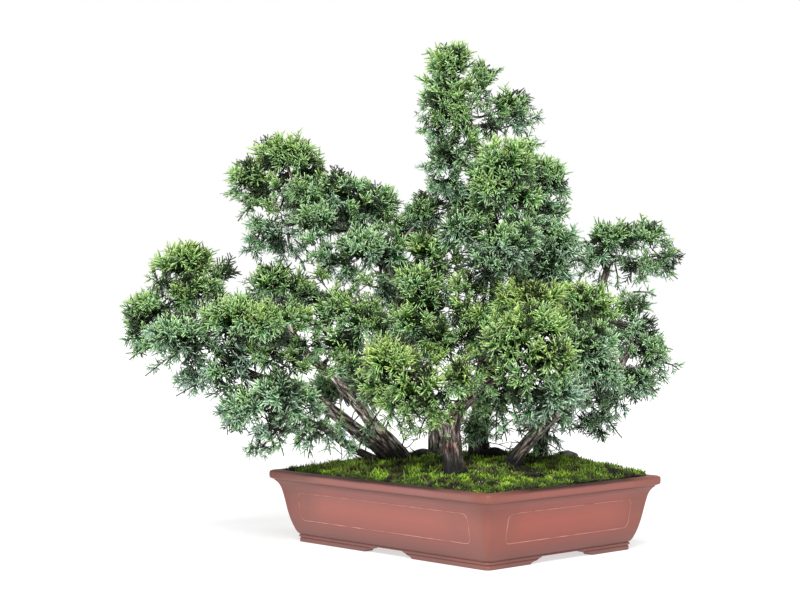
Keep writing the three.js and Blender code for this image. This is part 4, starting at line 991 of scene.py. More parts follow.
# Each pad's trunk, how fresh its growth is, from blue-green at 0 to yellow-green at 1, and its lobes, as
# x, y, height, half width and half height of the foliage's outer form.
PADS = {
    "apex": ("trunk_rear", 0.5, [
        (-15, 18, 575, 36, 30), (-15, 20, 617, 32, 28), (20, 10, 596, 23, 20), (-8, 12, 547, 32, 20),
        (34, 20, 552, 20, 20), (-38, 16, 556, 16, 18)]),
    "apex_tuft": ("trunk_rear", 0.3, [(64, 40, 560, 27, 24), (80, 44, 543, 19, 16)]),
    "shoulder_left": ("trunk_rear", 0.3, [
        (-16, 4, 500, 30, 21), (-14, 12, 466, 28, 22), (8, -4, 520, 20, 16), (-24, 8, 526, 24, 16),
        (-28, 8, 485, 22, 15)]),
    "shoulder_front": ("trunk_rear", 0.55, [
        (54, -30, 485, 45, 31), (34, -42, 450, 33, 25), (66, -26, 442, 36, 24)]),
    "shoulder_right": ("trunk_rear", 0.35, [(114, 22, 468, 28, 30), (106, 32, 430, 30, 22)]),
    "shoulder_back": ("trunk_rear", 0.35, [(44, 62, 470, 38, 30), (10, 74, 440, 34, 24)]),
    "waist_front": ("trunk_rear", 0.25, [
        (56, -52, 382, 42, 30), (30, -62, 358, 27, 20), (2, -32, 402, 34, 25), (82, -30, 412, 24, 14)]),
    "waist_right": ("trunk_rear", 0.2, [(120, 12, 384, 33, 28), (114, 18, 347, 36, 22)]),
    "waist_back": ("trunk_rear", 0.25, [(58, 90, 382, 40, 30), (90, 104, 350, 36, 26)]),
    "right_head": ("trunk_right_upright", 0.3, [
        (200, 90, 390, 32, 28), (236, 96, 396, 31, 21), (264, 84, 372, 22, 22), (176, 84, 366, 21, 21),
        (238, 90, 362, 26, 15)]),
    "right_back": ("trunk_right_upright", 0.25, [(150, 118, 300, 38, 30), (182, 108, 268, 33, 25)]),
    "crown_top": ("trunk_front", 0.75, [(90, -96, 316, 36, 21), (60, -90, 318, 26, 20)]),
    "crown_top_right": ("trunk_right_leaning", 0.65, [(146, -40, 314, 36, 22), (174, -30, 300, 24, 20)]),
    "crown_front": ("trunk_front", 0.62, [
        (84, -140, 284, 43, 26), (50, -142, 260, 36, 29), (94, -150, 244, 43, 28),
        (66, -148, 218, 30, 21), (28, -138, 214, 18, 16), (20, -104, 240, 18, 18), (12, -112, 208, 18, 15)]),
    "crown_right": ("trunk_right_leaning", 0.3, [(150, -92, 255, 39, 32), (166, -84, 224, 32, 22)]),
    "crown_far_right": ("trunk_right_leaning", 0.3, [
        (214, -14, 282, 28, 28), (230, -20, 254, 28, 25), (216, 0, 312, 20, 15), (242, -22, 238, 20, 16)]),
    "skirt_front": ("trunk_right_leaning", 0.2, [(104, -132, 198, 41, 24), (74, -132, 180, 24, 18)]),
    "skirt_right": ("trunk_right_leaning", 0.22, [
        (214, -22, 208, 34, 21), (190, -10, 184, 27, 18), (176, 4, 158, 22, 17), (154, -34, 198, 22, 16)]),
    "skirt_inner": ("trunk_rear", 0.4, [
        (47, -58, 194, 21, 32), (24, -62, 160, 20, 20), (30, -66, 190, 20, 24), (12, -62, 148, 15, 14)]),
    "skirt_middle": ("trunk_right_leaning", 0.2, [(110, -48, 164, 28, 17), (106, -30, 146, 20, 12)]),
    "spur_front": ("trunk_rear", 0.6, [
        (10, -72, 295, 31, 23), (0, -72, 264, 25, 19), (2, -54, 328, 25, 20), (30, -50, 326, 20, 18)]),
    "inner_back": ("trunk_rear", 0.3, [(52, 74, 288, 40, 29), (46, 90, 250, 38, 26)]),
    "centre_dome": ("trunk_rear_left", 0.35, [(-46, 62, 428, 28, 24), (-62, 96, 404, 32, 24)]),
    "centre_top": ("trunk_rear_left", 0.55, [(-42, 4, 376, 38, 22), (-18, -8, 356, 22, 19)]),
    "centre_middle": ("trunk_rear_left", 0.5, [
        (-56, -28, 333, 36, 28), (-36, -36, 308, 30, 24), (-66, -56, 284, 30, 27),
        (-32, -64, 262, 30, 26), (-104, -60, 270, 22, 18), (-20, -30, 280, 22, 18)]),
    "centre_back": ("trunk_rear_left", 0.3, [(-70, 90, 326, 40, 30), (-60, 102, 288, 38, 26)]),
    "front_bright": ("trunk_front", 0.72, [
        (-92, -122, 240, 35, 28), (-66, -130, 206, 37, 24), (-32, -134, 210, 26, 20),
        (-6, -146, 220, 25, 25), (-98, -118, 212, 28, 26), (-34, -136, 182, 24, 16),
        (-44, -110, 238, 20, 18), (-74, -126, 182, 30, 13)]),
    "upper_left_dome": ("trunk_rear_left", 0.55, [
        (-228, 60, 504, 41, 26), (-206, 54, 480, 32, 22), (-274, 60, 470, 32, 26),
        (-240, 40, 458, 22, 20), (-268, 56, 442, 24, 18), (-256, 60, 490, 18, 14), (-236, 48, 430, 18, 12)]),
    "upper_left_under": ("trunk_rear_left", 0.2, [
        (-255, 43, 408, 24, 28), (-232, 38, 400, 24, 20), (-262, 43, 384, 18, 16), (-222, 30, 380, 20, 14)]),
    "upper_left_middle": ("trunk_rear_left", 0.32, [
        (-186, 14, 412, 36, 26), (-194, 22, 448, 34, 23), (-160, 26, 452, 32, 23)]),
    "upper_left_near": ("trunk_rear_left", 0.35, [
        (-112, 38, 438, 34, 26), (-140, 24, 424, 28, 24), (-138, 28, 458, 24, 18)]),
    "upper_left_inner": ("trunk_rear_left", 0.25, [
        (-126, -4, 377, 37, 26), (-88, 6, 372, 31, 26), (-101, 0, 332, 18, 23), (-166, 4, 364, 24, 24),
        (-134, -2, 346, 22, 20)]),
    "upper_left_back": ("trunk_rear_left", 0.25, [(-172, 100, 430, 40, 29), (-206, 104, 452, 33, 25)]),
    "left_top": ("trunk_left", 0.6, [
        (-354, 0, 358, 37, 29), (-334, -8, 326, 30, 21), (-318, 0, 340, 22, 22), (-386, 0, 338, 20, 18),
        (-356, -14, 316, 24, 18)]),
    "left_tip": ("trunk_left", 0.5, [
        (-400, 0, 300, 32, 26), (-378, 2, 316, 22, 18), (-408, -10, 272, 24, 18)]),
    "left_front": ("trunk_left", 0.3, [(-358, -42, 270, 40, 25), (-334, -42, 250, 31, 17)]),
    "left_middle": ("trunk_left", 0.5, [
        (-244, -62, 282, 34, 25), (-214, -54, 290, 29, 22), (-290, -50, 291, 40, 28),
        (-198, -44, 254, 22, 18), (-246, -56, 240, 28, 18), (-204, -48, 236, 22, 13)]),
    "left_saddle": ("trunk_left", 0.45, [
        (-238, 30, 334, 37, 23), (-208, 30, 320, 27, 21), (-262, 24, 326, 19, 14)]),
    "left_under": ("trunk_left", 0.1, [
        (-282, -30, 252, 34, 17), (-342, -24, 214, 26, 14), (-224, -36, 246, 25, 15),
        (-306, -38, 224, 34, 18)]),
    "left_low": ("trunk_left", 0.22, [
        (-226, -60, 195, 40, 27), (-274, -46, 177, 36, 26), (-244, -46, 152, 27, 17),
        (-252, -46, 130, 18, 10), (-214, -56, 166, 20, 12), (-202, -54, 183, 28, 17)]),
    "left_inner": ("trunk_left", 0.5, [
        (-158, -24, 260, 33, 24), (-154, -24, 302, 32, 24), (-182, -22, 282, 26, 20),
        (-118, -22, 294, 24, 25), (-142, -50, 233, 24, 20), (-112, -70, 204, 26, 24),
        (-136, -40, 286, 26, 22), (-188, -30, 262, 18, 14)]),
    "left_back": ("trunk_left", 0.25, [(-290, 64, 294, 40, 29), (-256, 84, 276, 36, 26)]),
    "left_back_low": ("trunk_left", 0.2, [(-166, 66, 198, 38, 26)]),
    "trunk_spray": ("trunk_left", 0.25, [(-186, -52, 156, 28, 14), (-158, -54, 152, 18, 14)]),
}

# Loose, open sprays that stick out of a pad or hang from it, as the places where each starts and ends.
LOOSE_SPRAYS = {
    "left_under": [
        ((-291, -40, 223), (-361, -40, 193)), ((-278, -40, 208), (-324, -40, 191)),
        ((-290, -36, 224), (-266, -40, 206))],
    "left_low": [
        ((-252, -50, 159), (-260, -50, 118)), ((-243, -40, 158), (-225, -40, 118)),
        ((-182, -55, 159), (-194, -55, 116)), ((-165, -50, 154), (-142, -50, 117)),
        ((-204, -54, 160), (-210, -54, 130)), ((-176, -54, 156), (-166, -54, 120))],
    "left_front": [
        ((-355, -30, 270), (-421, -30, 238)), ((-342, -30, 257), (-401, -30, 218)),
        ((-372, -36, 260), (-408, -36, 246)), ((-350, -40, 254), (-376, -40, 232))],
    "left_tip": [((-404, 0, 298), (-426, 0, 299))],
    "trunk_spray": [
        ((-99, -60, 182), (-124, -60, 139)), ((-89, -62, 174), (-74, -62, 137)),
        ((-118, -36, 156), (-132, -36, 124))],
    "front_bright": [
        ((-77, -112, 187), (-60, -112, 148)), ((-46, -120, 176), (-56, -120, 146)),
        ((-86, -118, 184), (-97, -118, 152))],
    "centre_top": [((-18, -8, 360), (6, -10, 372))],
    "shoulder_front": [((74, -26, 498), (104, -20, 512))],
    "skirt_inner": [
        ((43, -70, 187), (40, -70, 137)), ((28, -74, 192), (25, -74, 160)), ((18, -72, 166), (6, -72, 134)),
        ((48, -62, 172), (54, -62, 138))],
    "skirt_middle": [((61, -60, 187), (73, -60, 142)), ((112, -40, 150), (122, -40, 126))],
    "waist_right": [((138, 14, 372), (168, 30, 352)), ((136, 14, 386), (166, 24, 382))],
    "skirt_right": [
        ((131, -10, 187), (204, -10, 138)), ((167, 0, 181), (180, 0, 132)),
        ((127, -20, 182), (137, -20, 141)), ((148, -30, 176), (164, -24, 146))],
    "skirt_front": [((100, -100, 186), (88, -100, 150))],
    "upper_left_under": [((-259, 40, 411), (-270, 40, 367)), ((-244, 40, 406), (-225, 40, 364))],
    "upper_left_middle": [((-208, 15, 402), (-193, 15, 363))],
    "upper_left_inner": [((-174, 0, 378), (-179, 0, 335)), ((-151, 0, 363), (-137, 0, 327))],
    "upper_left_dome": [((-274, 60, 453), (-311, 60, 451)), ((-270, 60, 441), (-292, 60, 417))],
    "right_head": [
        ((246, 84, 394), (294, 84, 376)), ((240, 84, 370), (289, 84, 341)), ((187, 84, 365), (197, 84, 322)),
        ((180, 84, 362), (156, 74, 338)), ((206, 88, 362), (210, 88, 326)), ((186, 84, 350), (178, 80, 318))],
    "crown_far_right": [
        ((218, -5, 324), (248, -5, 319)), ((226, -20, 257), (267, -20, 251)),
        ((226, -20, 230), (261, -20, 207)), ((214, -16, 248), (238, -16, 232))],
    "apex": [((19, 15, 601), (54, 15, 610)), ((11, 20, 573), (46, 20, 567)), ((6, 12, 546), (24, 12, 576))],
}

# Single tufts that close the gaps between lobes, as places. They face the front and up.
FILLS = {
    "apex": [(30, 14, 586), (12, 8, 584)],
    "left_front": [(-388, -36, 258)],
    "left_inner": [(-118, -28, 332), (-182, -10, 336)],
    "left_low": [(-276, -52, 152)],
    "left_middle": [(-196, -50, 222), (-208, -50, 276)],
    "left_top": [(-352, -20, 314), (-366, -14, 322)],
    "right_head": [(244, 84, 346)],
    "upper_left_dome": [(-250, 50, 430)],
    "upper_left_inner": [(-188, 0, 384), (-186, 0, 362)],
    "upper_left_near": [(-100, 30, 408)],
}
FILL_WAY = np.array([0.0, -0.8, 0.6])
FILL_DEPTH = 20

# Limbs have a ring of points every few mm, and flare where they meet the ground. Their bark has ridges:
# how many stand around a limb, how often they change along it, and how high they are.
RING_SPACING = 3.0
GROUND = 100
FLARE_HEIGHT = 26
FLARING_RELIEF = 0.15
BARK_TWIST = 0.006
BARK_STRIPS = {"around": 2.2, "along": 0.012, "height": 1.5}
BARK_KNOTS = {"around": 1.2, "along": 0.045, "height": 0.8}
BARK_CRACKS = {"around": 6.0, "along": 0.03, "height": 0.5}
LIMB_SIDES, LIMB_RELIEF = (28, 20), (0.18, 0.13)


def smooth_line(line, spacing):
    """A smooth line through points with radii, with a ring every few mm."""
    line = np.array(line, float)
    padded = np.vstack([2 * line[0] - line[1], line, 2 * line[-1] - line[-2]])
    made = []
    for first in range(len(line) - 1):
        before, start, end, after = padded[first:first + 4]
        steps = max(2, int(np.linalg.norm((end - start)[:3]) / spacing))
        t = np.linspace(0, 1, steps, endpoint=False)[:, None]
        made.append(0.5 * (
            2 * start + (end - before) * t + (2 * before - 5 * start + 4 * end - after) * t ** 2
            + (3 * start - before - 3 * end + after) * t ** 3
        ))
    made.append(line[-1:])
    return np.vstack(made)


def bark_wave(shape, turn, run, phase):
    """How far one sort of ridge stands out at a turn about a limb and a run along it."""
    around = shape["around"]
    place = Vector((around * math.cos(turn), around * math.sin(turn), run * shape["along"] + phase))
    return shape["height"] * noise.noise(place)


class Timber:
    """Grows one piece's mesh out of many tapered limbs, with the bark's own coordinates."""

    def __init__(self, seed):
        self.random = np.random.default_rng(seed)
        self.vertices = []
        self.faces = []
        self.grain = []
        self.light = []

    def grow(self, line, sides, spacing, relief, light):
        """Adds a limb along a line. relief is how far its bark stands out, as a share of its radius."""
        rings = smooth_line(line, spacing)
        centres = rings[:, :3]
        ahead = unit(np.gradient(centres, axis=0))
        side = np.cross(ahead[0], (0.31, 0.84, 0.44))
        run = self.random.uniform(0, 900)
        phase = self.random.uniform(0, 50)
        turns = np.linspace(0, 2 * math.pi, sides, endpoint=False)
        first = len(self.vertices)
        for number, (centre, forward, radius) in enumerate(zip(centres, ahead, rings[:, 3])):
            side = unit(side - forward * np.dot(side, forward))
            other = np.cross(forward, side)
            if number:
                run += np.linalg.norm(centre - centres[number - 1])
            flare = 0.0
            if relief > FLARING_RELIEF:
                flare = min(1.0, max(0.0, 1 - (centre[2] - GROUND) / FLARE_HEIGHT))
            for turn in turns:
                reach = radius
                if relief:
                    twist = turn + run * BARK_TWIST
                    waves = bark_wave(BARK_STRIPS, twist, run, phase)
                    waves += bark_wave(BARK_KNOTS, turn, run, phase)
                    waves += bark_wave(BARK_CRACKS, twist, run, phase)
                    reach *= 1 + relief * waves
                    reach *= 1 + flare ** 2 * (0.12 + 0.2 * math.sin(3 * turn + phase))
                self.vertices.append(centre + reach * (side * math.cos(turn) + other * math.sin(turn)))
                self.grain.append((radius * math.cos(turn), radius * math.sin(turn), run))
                self.light.append(light)
        self.faces += [tuple(first + index for index in face) for face in tube_faces(len(rings), sides)]

    def piece(self, name, material):
        """The finished piece, with its bark's coordinates in metres."""
        made = new_piece(name, to_model(self.vertices), self.faces, material)
        grain = made.data.attributes.new("grain", "FLOAT_VECTOR", "POINT")
        grain.data.foreach_set("vector", (np.array(self.grain) * MM).ravel())
        keep_numbers(made.data, light=self.light)
        return made


# Juniper bark: it peels in long strips, grey and pale on the top of its strips and nearly black in the
# furrows, with red-brown patches of new bark; the pale strips and black furrows are partly the bark's own
# colour and partly painted highlight and painted shade. It is nearly black near the ground, partly damp bark
# and partly painted shade at the trunks' feet.
bark, tree = new_material("juniper_bark")
grain = add_node(tree, "ShaderNodeAttribute", attribute_name="grain").outputs["Vector"]
light = add_node(tree, "ShaderNodeAttribute", attribute_name="light").outputs["Fac"]
where = add_node(tree, "ShaderNodeTexCoord").outputs["Object"]
along_grain = add_node(tree, "ShaderNodeMapping", {"Vector": grain, "Scale": (1, 1, 0.2)})
strips = add_node(tree, "ShaderNodeTexNoise", {
    "Vector": along_grain.outputs[0], "Scale": 300.0, "Detail": 6.0, "Roughness": 0.68, "Distortion": 0.5,
})
strip_colour = add_node(tree, "ShaderNodeValToRGB", {"Fac": strips.outputs["Fac"]}, stops=[
    (0.38, "#0e0b09"), (0.46, "#39322c"), (0.54, "#857d74"), (0.64, "#e6e1da"),
])
flakes = add_node(tree, "ShaderNodeTexNoise", {"Vector": grain, "Scale": 55.0, "Detail": 3.0})
flake_share = add_node(tree, "ShaderNodeMapRange", {
    "Value": flakes.outputs["Fac"], "From Min": 0.5, "From Max": 0.66, "To Max": 0.5,
})
new_bark = add_node(tree, "ShaderNodeMix", {
    0: flake_share.outputs[0], 6: strip_colour.outputs[0], 7: linear("#b98a70"),
}, data_type="RGBA", blend_type="MULTIPLY")
height = add_node(tree, "ShaderNodeSeparateXYZ", {0: where}).outputs["Z"]
# Painted shade, partly damp: the bark is drawn nearly black near the ground.
darkening_level = add_node(tree, "ShaderNodeMath", {
    0: flakes.outputs["Fac"], 1: 0.04, 2: height,
}, operation="MULTIPLY_ADD")
darkening = add_node(tree, "ShaderNodeMapRange", {
    "Value": darkening_level.outputs[0], "From Min": 0.134, "From Max": 0.168, "To Min": 0.04, "To Max": 1.0,
})
lightness = add_node(tree, "ShaderNodeMath", {0: darkening.outputs[0], 1: light}, operation="MULTIPLY")
shaded = add_node(tree, "ShaderNodeHueSaturation", {
    "Color": new_bark.outputs[2], "Value": lightness.outputs[0],
})
bump = add_node(tree, "ShaderNodeBump", {
    "Height": strips.outputs["Fac"], "Strength": 1.0, "Distance": 0.003,
})
shader = add_node(tree, "ShaderNodeBsdfPrincipled", {
    "Base Color": shaded.outputs[0], "Roughness": 0.85, "Normal": bump.outputs[0],
})
add_node(tree, "ShaderNodeOutputMaterial", {"Surface": shader.outputs[0]})
flake_share.name = "flake share"
new_bark.name = "new bark"

# The front trunk has shed more of its bark, and what is under it is red-brown.
shedding_bark = bark.copy()
shedding_bark.name = "juniper_bark_shedding"
shedding_nodes = shedding_bark.node_tree.nodes
shedding_nodes["flake share"].inputs["From Min"].default_value = 0.36
shedding_nodes["flake share"].inputs["To Max"].default_value = 0.95
shedding_nodes["new bark"].inputs[7].default_value = linear("#a9705c")

# Branches and twigs. A light is a factor on how pale the bark is drawn. Dead twigs stand out of every limb,
# each with a fork, and a few of them still carry leaves.
BRANCH_LIGHT = 0.5
FORK_LIGHT = 0.45
TWIG_LIGHT = 0.4
DEAD_TWIG_LIGHT = 0.7
BRANCH_RISE = 22
FOOT_RINGS = 6
TWIG_SPACING = 11
TWIG_REACH = (16, 42)
LOWEST_TWIG = 112
FORK_SHARE = 0.45
LEAFY_TWIGS = 0.3

# The foliage's outer form, in which lobes merge, and the tufts of sprays that stand evenly apart in it.
LOBE_DEPTH = 0.94
MERGING = 2.0
TRIES_PER_LOBE = 50
REACHES_TRIED = (0.5, 1.5, 0.04)
TUFT_SPACING = 18.5
OPEN_SPACING = 20
TUFT_DEPTH = 23
DEEPEST_SHARE = 0.72
LOWEST_WAY = -0.35
LOW_TUFTS_KEPT = 0.5
INNER_VOLUME = 6500
INNER_SPREAD = (0.1, 0.45)

# Sprays that hang out of a pad, or stick out all round an open one, and the leafy sprouts along them.
HANGERS = 1
OPEN_HANGERS = 3
HANGER_REACH = (6, 18)
HANGER_FOOT = 0.75
HANGER_TESTED = 0.85
HANGER_SAG = np.array([0, 0, -0.25])
LOWEST_HANGER = 116
SPRAY_RISE = 0.08
SPRAY_STRAY = 0.05
SPROUT_SPACING = 7
SPROUT_SIZES = (0.5, 0.8)
OPEN_PADS = {
    "right_head", "skirt_right", "skirt_front", "skirt_middle", "left_low", "trunk_spray", "left_under",
    "upper_left_under", "apex_tuft", "crown_far_right", "left_back_low",
}
pad_of_lobe = [pad for pad, (_, _, lobes) in PADS.items() for _ in lobes]
all_lobes = np.array([lobe for _, _, lobes in PADS.values() for lobe in lobes], float)
lobe_centres = all_lobes[:, :3]
lobe_radii = all_lobes[:, [3, 3, 4]] * (1, LOBE_DEPTH, 1)


def in_foliage(points):
    """How strongly the lobes hold each point (over 1 inside), its way out, and its nearest lobe."""
    away = (points[:, None, :] - lobe_centres) / lobe_radii
    pull = np.exp(MERGING * (1 - (away ** 2).sum(2))) + 1e-12
    way_out = unit((pull[:, :, None] * away / lobe_radii).sum(1))
    return pull.sum(1), way_out, pull.argmax(1)


def foliage_surface(random, spacing):
    """Random points on the outer form of the foliage, where the lobes merge into each other."""
    found = []
    for centre, radii in zip(lobe_centres, lobe_radii):
        rays = unit(random.normal(size=(int(TRIES_PER_LOBE * radii[0] * radii[2] / spacing ** 2), 3)))
        reach = np.ones(len(rays))
        inside = np.ones(len(rays), bool)
        for step in np.arange(*REACHES_TRIED):
            inside &= in_foliage(centre + rays * radii * step)[0] > 1
            reach = np.where(inside, step, reach)
        reach = np.where(inside, 0, reach)
        found.append((centre + rays * radii * reach[:, None])[reach > 0])
    return np.concatenate(found)


def spread_tufts(random):
    """Tufts all over the foliage: place, way out, nearest lobe, reach, and whether it is an inner one."""
    surface = foliage_surface(random, TUFT_SPACING)
    _, way_out, nearest = in_foliage(surface)
    allowed = (way_out[:, 2] > LOWEST_WAY) | (random.uniform(0, 1, len(surface)) < LOW_TUFTS_KEPT)
    chosen = []
    for index in random.permutation(np.flatnonzero(allowed)):
        room = OPEN_SPACING if pad_of_lobe[nearest[index]] in OPEN_PADS else TUFT_SPACING
        if chosen and np.linalg.norm(surface[chosen] - surface[index], axis=1).min() < room:
            continue
        chosen.append(index)
    made = []
    for index in chosen:
        reach = min(TUFT_DEPTH, DEEPEST_SHARE * lobe_radii[nearest[index]].mean())
        made.append((surface[index] - way_out[index] * reach, way_out[index], nearest[index], reach, False))
    for lobe, (centre, radii) in enumerate(zip(lobe_centres, lobe_radii)):
        for _ in range(int(radii.prod() / INNER_VOLUME)):
            heading = unit(random.normal(size=3))
            place = centre + heading * radii * random.uniform(*INNER_SPREAD)
            made.append((place, heading, lobe, TUFT_DEPTH, True))
    return made


pad_tufts = {pad: [] for pad in PADS}
for tuft in spread_tufts(np.random.default_rng(11)):
    pad_tufts[pad_of_lobe[tuft[2]]].append(tuft)
for pad, places in FILLS.items():
    for place in places:
        pad_tufts[pad].append((np.array(place, float), FILL_WAY, 0, FILL_DEPTH, False))


def branch_start(lines, target):
    """The point of a trunk that a pad's branch leaves: near the pad, and rather below it."""
    rings = np.vstack([smooth_line(line, 6)[FOOT_RINGS:] for line in lines])
    too_high = np.maximum(0, rings[:, 2] - target[2] + BRANCH_RISE)
    cost = np.linalg.norm(rings[:, :3] - target, axis=1) + too_high
    return rings[np.argmin(cost)]


def loose_spray(timber, start, end):
    """Grows an open spray's twig and gives its leafy sprays' roots: places, headings and sizes."""
    start, end = np.array(start, float), np.array(end, float)
    span = np.linalg.norm(end - start)
    way = (end - start) / span
    stray = timber.random.normal(0, SPRAY_STRAY * span, 3)
    middle = (start + end) / 2 + stray + np.array([0, 0, SPRAY_RISE * span])
    line = [(*start, 1.2), (*middle, 0.95), (*end, 0.7)]
    timber.grow(line, 5, 6, 0, TWIG_LIGHT)
    path = smooth_line(line, 2)[:, :3]
    side = unit(np.cross(way, timber.random.normal(0, 1, 3)))
    roots = []
    steps = max(4, int(span / SPROUT_SPACING))
    for number in range(steps):
        share = 0.25 + 0.6 * number / steps
        flare = (1 if number % 2 else -1) * timber.random.uniform(0.7, 1.2)
        heading = way + side * flare + timber.random.normal(0, 0.3, 3)
        place = path[int(share * (len(path) - 1))]
        roots.append((place, unit(heading), timber.random.uniform(*SPROUT_SIZES)))
    return roots


def hanging_sprays(lobes, is_open, random):
    """Thin sprays that hang out of a pad's underside, or stick out all round an open pad."""
    found = []
    for lobe in lobes:
        centre = np.array(lobe[:3], float)
        radii = np.array([lobe[3], LOBE_DEPTH * lobe[3], lobe[4]])
        for _ in range(OPEN_HANGERS if is_open else HANGERS):
            out = unit(random.normal(size=3))
            out[2] = -abs(out[2]) if not is_open else out[2] * 0.8 - 0.35
            out = unit(out)
            start = centre + out * radii * HANGER_FOOT
            end = centre + out * radii + (out + HANGER_SAG) * random.uniform(*HANGER_REACH)
            hold = in_foliage(np.array([start + (end - start) * HANGER_TESTED]))[0][0]
            if hold < 1 and end[2] > LOWEST_HANGER:
                found.append((start, end))
    return found


def bare_twigs(timber, line):
    """Thin dead twigs, each with a fork, all along a limb. Gives the roots of the sprays on a few ends."""
    ends = []
    rings = smooth_line(line, TWIG_SPACING)
    for ring in rings[2:-1]:
        centre, radius = ring[:3], ring[3]
        if centre[2] < LOWEST_TWIG:
            continue
        way = unit(timber.random.normal(size=3) + np.array([0, 0, 0.25]))
        length = timber.random.uniform(*TWIG_REACH)
        start = centre + way * radius * 0.6
        knee = start + way * length * 0.5 + timber.random.normal(0, 0.1 * length, 3)
        end = start + way * length + timber.random.normal(0, 0.14 * length, 3)
        timber.grow([(*start, 0.95), (*knee, 0.7), (*end, 0.4)], 4, 7, 0, DEAD_TWIG_LIGHT)
        fork = knee + unit(way + timber.random.normal(0, 0.6, 3)) * length * FORK_SHARE
        timber.grow([(*knee, 0.65), (*((knee + fork) / 2), 0.5), (*fork, 0.35)], 4, 7, 0, DEAD_TWIG_LIGHT)
        if timber.random.uniform(0, 1) < LEAFY_TWIGS:
            ends.append((end - way * 6, way, timber.random.uniform(0.45, 0.7)))
    return ends


loose_roots = {}
for number, (name, lines) in enumerate(TRUNKS.items()):
    timber = Timber(seed=number)
    leafy_ends = []
    for place, (line, light) in enumerate(zip(lines, BARK_LIGHT[name])):
        is_side_line = place > 0
        timber.grow(line, LIMB_SIDES[is_side_line], RING_SPACING, LIMB_RELIEF[is_side_line], light)
        leafy_ends += bare_twigs(timber, line)
    for pad, (wood_name, freshness, lobes) in PADS.items():
        if wood_name != name:
            continue
        middle = np.array(lobes[0][:3], float)
        start = branch_start(lines, middle)
        span = np.linalg.norm(middle - start[:3])
        thick = 2.0 + span / 50
        bend = (start[:3] + middle) / 2 - np.array([0, 0, span * 0.09])
        branch = [(*start[:3], thick), (*bend, thick * 0.8), (*middle, 1.6)]
        timber.grow(branch, 9, RING_SPACING, 0.1, BRANCH_LIGHT)
        path = smooth_line(branch, 4)[:, :3]
        forks = [middle]
        for lobe in lobes[1:]:
            centre = np.array(lobe[:3], float)
            fork = path[np.argmin(np.linalg.norm(path - centre, axis=1))]
            sag = (fork + centre) / 2 - np.array([0, 0, 4])
            timber.grow([(*fork, 2.2), (*sag, 1.8), (*centre, 1.2)], 6, 5, 0, FORK_LIGHT)
            forks.append(centre)
        for place, way_out, _, _, _ in pad_tufts[pad]:
            root = min(forks, key=lambda fork: np.linalg.norm(fork - place)) + timber.random.normal(0, 3, 3)
            knee = (root + place) / 2 + timber.random.normal(0, 0.16 * np.linalg.norm(place - root), 3)
            end = place + way_out * 5
            timber.grow([(*root, 1.0), (*knee, 0.85), (*end, 0.55)], 4, 8, 0, TWIG_LIGHT)
        loose_roots[pad] = []
        own_random = np.random.default_rng(500 + list(PADS).index(pad))
        for start, end in LOOSE_SPRAYS.get(pad, []) + hanging_sprays(lobes, pad in OPEN_PADS, own_random):
            loose_roots[pad] += loose_spray(timber, start, end)
        loose_roots[pad] += leafy_ends
        leafy_ends = []
    wood = timber.piece(f"wood_of_{name}", shedding_bark if name == "trunk_front" else bark)
    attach(wood, "root")
    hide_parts(name)

# ---------------------------------------------------------------------------------------------
# Foliage: sprays of scale-leaved juniper shoots, like green cords of 2 mm. Each spray is a short stem
# with side shoots, mostly in one plane, and thousands of them stand out of each pad's twigs.

SPRAY_LENGTH = 20
SHOOT_RADIUS = 0.98
SHOOT_SIDES = 3


def add_shoot(spray, root, heading, bend, length, radius, tip_range, rings, shade):
    """Adds one blunt cord to a spray, in mm. bend is how far its end strays, as a share of its length."""
    vertices, faces, tips, shades = spray
    start = len(vertices)
    heading = Vector(heading).normalized()
    across = heading.orthogonal().normalized()
    other = heading.cross(across)
    for ring in range(rings):
        share = 0.92 * ring / (rings - 1)
        centre = Vector(root) + heading * length * share + Vector(bend) * length * share ** 2
        width = radius * (1 - 0.15 * share)
        for side in range(SHOOT_SIDES):
            turn = 2 * math.pi * side / SHOOT_SIDES
            vertices.append((centre + width * (across * math.cos(turn) + other * math.sin(turn))) * MM)
            tips.append(tip_range[0] + (tip_range[1] - tip_range[0]) * share)
            shades.append(shade)
    vertices.append((Vector(root) + heading * length + Vector(bend) * length) * MM)
    tips.append(tip_range[1])
    shades.append(shade)
    body = tube_faces(rings, SHOOT_SIDES, closed_ends=False)
    faces += [tuple(start + index for index in face) for face in body]
    last = start + (rings - 1) * SHOOT_SIDES
    for side in range(SHOOT_SIDES):
        faces.append((last + side, last + (side + 1) % SHOOT_SIDES, last + SHOOT_SIDES))
    faces.append(tuple(start + side for side in reversed(range(SHOOT_SIDES))))


